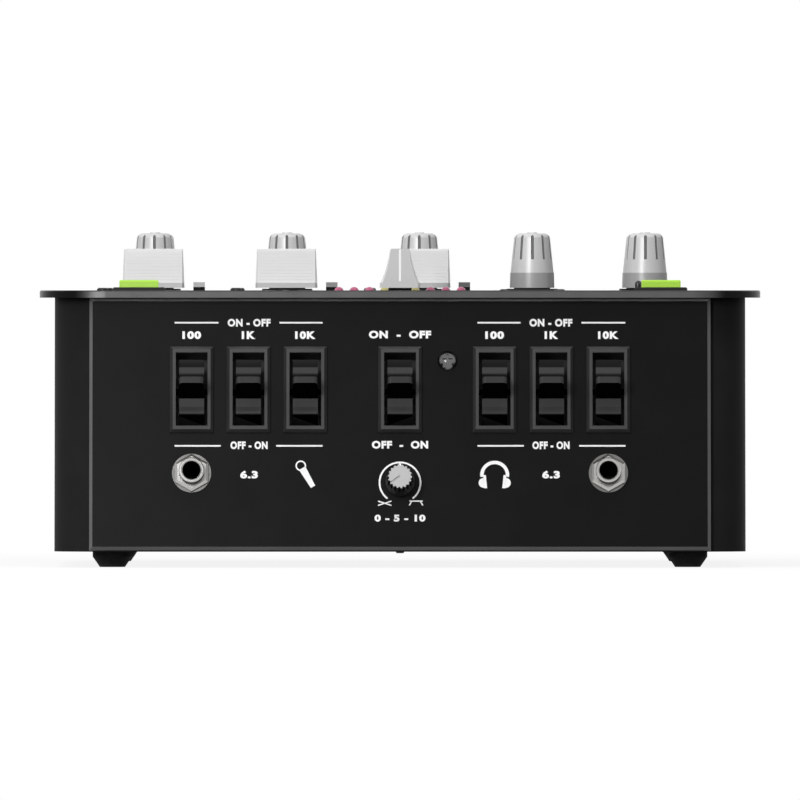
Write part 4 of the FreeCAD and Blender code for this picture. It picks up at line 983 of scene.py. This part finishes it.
# Rear panel: the sockets' numbers, and the marks under the inlet and the ground screw
PHONO_COLUMNS = 5
PHONO_FLANGE_R = 6.2
SOCKET_WORD_RISE = 6.0
SOCKET_WORD_HEIGHT = 3.2
POLARITY_DROP = 13.5
POLARITY_R = 1.5
POLARITY_TURN = (40, 320)
POLARITY_WIDTH = 0.45
POLARITY_DOT_R = 0.6
POLARITY_LINES = ((-5.0, -1.3), (0.5, 5.0))
EARTH_DROP = 11.5
EARTH_STEM_HALF = 0.25
EARTH_STEM_LENGTH = 2.6
EARTH_BAR_HALVES = (2.4, 1.5, 0.6)
EARTH_BAR_PITCH = 1.1
EARTH_BAR_WIDTH = 0.5


def print_socket_numbers(ink):
    low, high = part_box("phono_shells")
    width = (high.x - low.x) / MM
    pitch = (width - 2 * PHONO_FLANGE_R) / (PHONO_COLUMNS - 1)
    for i in range(PHONO_COLUMNS):
        x = low.x / MM + PHONO_FLANGE_R + pitch * i
        add_words(ink, str(i + 1), -x, high.z / MM + SOCKET_WORD_RISE, SOCKET_WORD_HEIGHT)


def print_polarity(ink):
    """An open ring round a dot, with a line on each side."""
    inlet = middle_of("dc_inlet")
    u, v = -inlet.x, inlet.z - POLARITY_DROP
    add_stroke(ink, arc((u, v), POLARITY_R, *POLARITY_TURN, steps=24), POLARITY_WIDTH)
    add_solid(ink, list(reversed(arc((u, v), POLARITY_DOT_R, 0, 330, steps=11))))
    for start, end in POLARITY_LINES:
        add_bar(ink, u + start, v - TICK_HALF, u + end, v + TICK_HALF)


def print_earth(ink):
    """A stem over three bars that grow shorter."""
    earth = middle_of("ground_screw")
    u, v = -earth.x, earth.z - EARTH_DROP
    add_bar(ink, u - EARTH_STEM_HALF, v, u + EARTH_STEM_HALF, v + EARTH_STEM_LENGTH)
    for i, half in enumerate(EARTH_BAR_HALVES):
        top = v - EARTH_BAR_PITCH * i
        add_bar(ink, u - half, top - EARTH_BAR_WIDTH, u + half, top)


def print_rear(finish):
    ink = bmesh.new()
    print_socket_numbers(ink)
    print_polarity(ink)
    print_earth(ink)
    finish_mesh(ink, "rear_print", REAR_SHEET, finish, "case")


# White marks that ride on the moving pieces

def add_bent_bar(made, outer, inner, half, to_space):
    """A bar of even width between two paths in a plane, closed at its ends."""
    rows = []
    for path, side in ((outer, -half), (outer, half), (inner, half), (inner, -half)):
        rows.append([made.verts.new(to_space(s, z, side)) for s, z in path])
    count = len(outer)
    for i in range(count - 1):
        for a, b in ((0, 1), (1, 2), (2, 3), (3, 0)):
            made.faces.new((rows[a][i], rows[a][i + 1], rows[b][i + 1], rows[b][i]))
    for end in (0, count - 1):
        made.faces.new([row[end] for row in rows])


# Profile of the knob's side from the flute's foot over the crown, as (radius, height)
POINTER_PATH = ((6.98, 10.9), (KNOB_SHOULDER_R, KNOB_SHOULDER_HEIGHT),
                (5.7, 19.0), (4.9, 19.35), (3.95, 19.45), (2.1, 19.45))
POINTER_PROUD = 0.12
POINTER_SUNK = 0.45
POINTER_HALF = 0.42


def knob_pointer(node, finish):
    """A white line in the rear flute and over the crown of a knob."""
    middle = middle_of(node)
    base = PLATE_TOP + KNOB_LIFT
    made = bmesh.new()
    outer = [(r + POINTER_PROUD, z + POINTER_PROUD) for r, z in POINTER_PATH]
    inner = [(r - POINTER_SUNK, z - POINTER_SUNK) for r, z in POINTER_PATH]

    def to_space(s, z, side):
        return (middle.x + side, middle.y + s, base + z)
    add_bent_bar(made, outer, inner, POINTER_HALF, to_space)
    finish_mesh(made, f"{node}_pointer", Matrix.Identity(4), finish, body_of(node))


# A fader cap's outline up one end, over the top and down the other, as (along the cap, height)
LINE_END = ((10.87, 2.3), (10.39, 13.4), (10.0, 13.8))
LINE_PATH = LINE_END + tuple((-s, z) for s, z in reversed(LINE_END))
LINE_TOP_FROM = 13.0
LINE_PROUD = 0.05
LINE_SUNK = 0.3
LINE_HALF = 0.35


def fader_line(node, along_x, finish):
    """A white line over the top of a fader cap and down both ends."""
    middle = middle_of(node)
    base = PLATE_TOP + FADER_LIFT
    made = bmesh.new()

    def shifted(s, z, by):
        return (s + math.copysign(1.0, s) * by, z + by * (z > LINE_TOP_FROM))
    outer = [shifted(s, z, LINE_PROUD) for s, z in LINE_PATH]
    inner = [shifted(s, z, -LINE_SUNK) for s, z in LINE_PATH]

    def to_space(s, z, side):
        if along_x:
            return (middle.x + s, middle.y + side, base + z)
        return (middle.x + side, middle.y + s, base + z)
    add_bent_bar(made, outer, inner, LINE_HALF, to_space)
    finish_mesh(made, f"{node}_line", Matrix.Identity(4), finish, body_of(node))


def add_marks(finish):
    for name in knob_names():
        knob_pointer(name, finish)
    fader_line("crossfader_cap", False, finish)
    for i in (1, 2, 3):
        fader_line(f"fader_cap_{i}", True, finish)


# Studio: a long lens level with the top plate, three soft lights, and white all round
CAMERA_DISTANCE = 12.0
VIEW_WIDTH = 0.28136
VIEW_MIDDLE_Z = 0.05894
CAMERA_Z = 0.0976
PANEL_PLANE_Y = -0.150
SENSOR = 36.0
WORLD_LEFT = 0.9
WORLD_RIGHT = 0.0
SEEN_RAYS = ("Is Camera Ray", "Is Glossy Ray", "Is Transmission Ray")


def add_camera():
    data = bpy.data.cameras.new("camera")
    data.sensor_width = SENSOR
    data.lens = SENSOR * CAMERA_DISTANCE / VIEW_WIDTH
    data.clip_end = 100.0
    camera = link(bpy.data.objects.new("camera", data))
    camera.location = (0.0, PANEL_PLANE_Y - CAMERA_DISTANCE, CAMERA_Z)
    aim = Vector((0.0, PANEL_PLANE_Y, VIEW_MIDDLE_Z)) - camera.location
    camera.rotation_euler = aim.to_track_quat("-Z", "Y").to_euler()
    bpy.context.scene.camera = camera


def add_light(name, place, aim, size, power):
    """A rectangular soft light that the camera doesn't see."""
    data = bpy.data.lights.new(name, "AREA")
    data.shape = "RECTANGLE"
    data.size, data.size_y = size
    data.energy = power
    light = link(bpy.data.objects.new(name, data))
    light.location = place
    light.rotation_euler = (Vector(aim) - Vector(place)).to_track_quat("-Z", "Y").to_euler()
    light.visible_camera = False
    return light


def add_lights():
    front = (0.0, -0.15, 0.06)
    plate = (0.0, -0.08, 0.08)
    add_light("key", place=(-0.37, -1.12, 0.30), aim=front, size=(0.15, 0.3), power=5.2)
    add_light("fill", place=(0.0, -1.7, 0.06), aim=front, size=(1.0, 0.35), power=1.3)
    top = add_light("top", place=(0.0, -0.45, 1.05), aim=plate, size=(0.9, 0.5), power=7.0)
    top.visible_glossy = False


def seen_by(tree, outputs):
    """One socket that is 1 for any of the named kinds of ray."""
    path = tree.nodes.new("ShaderNodeLightPath")
    total = path.outputs[outputs[0]]
    for name in outputs[1:]:
        either = tree.nodes.new("ShaderNodeMath")
        either.operation = "MAXIMUM"
        tree.links.new(total, either.inputs[0])
        tree.links.new(path.outputs[name], either.inputs[1])
        total = either.outputs["Value"]
    return total


def background(tree, strength):
    """A white background whose strength is a number or a socket."""
    made = tree.nodes.new("ShaderNodeBackground")
    made.inputs["Color"].default_value = (1.0, 1.0, 1.0, 1.0)
    if isinstance(strength, float):
        made.inputs["Strength"].default_value = strength
    else:
        tree.links.new(strength, made.inputs["Strength"])
    return made.outputs["Background"]


def mixed(tree, share, first, second):
    made = tree.nodes.new("ShaderNodeMixShader")
    tree.links.new(share, made.inputs["Fac"])
    tree.links.new(first, made.inputs[1])
    tree.links.new(second, made.inputs[2])
    return made.outputs["Shader"]


def add_world():
    """White where it is seen or reflected; its own light comes mostly from the left."""
    world = bpy.data.worlds.new("studio")
    bpy.context.scene.world = world
    world.use_nodes = True
    tree = world.node_tree
    tree.nodes.clear()
    place = tree.nodes.new("ShaderNodeTexCoord")
    axes = tree.nodes.new("ShaderNodeSeparateXYZ")
    tree.links.new(place.outputs["Generated"], axes.inputs["Vector"])
    lit = background(tree, ranged(tree, axes.outputs["X"], -1.0, 1.0, WORLD_LEFT, WORLD_RIGHT))
    final = mixed(tree, seen_by(tree, SEEN_RAYS), lit, background(tree, 1.0))
    out = tree.nodes.new("ShaderNodeOutputWorld")
    tree.links.new(final, out.inputs["Surface"])


# Floor: its tones, and how much of its white is its own, near the object and far from it
FLOOR_HALF = 30.0
FLOOR_TONE = 0.9
FLOOR_DIM_TONE = 0.08
FLOOR_NEAR = 0.25
FLOOR_FAR = 0.6
FLOOR_SHARE = 0.88


def floor_finish():
    """White paper to the eye, with a soft shadow near the object; dark to what stands on it."""
    made = bpy.data.materials.new("floor_paper")
    made.use_nodes = True
    tree = made.node_tree
    paper = tree.nodes["Principled BSDF"]
    paper.inputs["Base Color"].default_value = (*grey(FLOOR_TONE), 1.0)
    paper.inputs["Roughness"].default_value = 0.9
    paper.inputs["Specular IOR Level"].default_value = 0.0
    glow = tree.nodes.new("ShaderNodeEmission")
    dim = tree.nodes.new("ShaderNodeBsdfDiffuse")
    dim.inputs["Color"].default_value = (*grey(FLOOR_DIM_TONE), 1.0)
    place = tree.nodes.new("ShaderNodeTexCoord")
    reach = tree.nodes.new("ShaderNodeVectorMath")
    reach.operation = "LENGTH"
    tree.links.new(place.outputs["Object"], reach.inputs[0])
    share = ranged(tree, reach.outputs["Value"], FLOOR_NEAR, FLOOR_FAR, FLOOR_SHARE, 1.0)
    white = mixed(tree, share, paper.outputs["BSDF"], glow.outputs["Emission"])
    final = mixed(tree, seen_by(tree, SEEN_RAYS), dim.outputs["BSDF"], white)
    tree.links.new(final, tree.nodes["Material Output"].inputs["Surface"])
    return made


def add_floor():
    half = FLOOR_HALF
    corners = [(-half, -half, 0.0), (half, -half, 0.0), (half, half, 0.0), (-half, half, 0.0)]
    mesh = bpy.data.meshes.new("floor")
    mesh.from_pydata(corners, [], [(0, 1, 2, 3)])
    mesh.materials.append(floor_finish())
    floor = link(bpy.data.objects.new("floor", mesh))


add_camera()
dress_case()
dress_inside()
dress_screws()
dress_knobs()
dress_curve_knob()
dress_faders()
dress_buttons()
dress_lamps()
dress_rockers()
dress_jacks()
dress_rear()
INK = white_ink()
print_front(INK)
print_top(white_ink("top_ink", tone=0.7))
print_rear(white_ink("rear_ink", tone=0.7))
add_marks(INK)
add_lights()
add_world()
add_floor()
bpy.context.scene.view_settings.view_transform = "Standard"
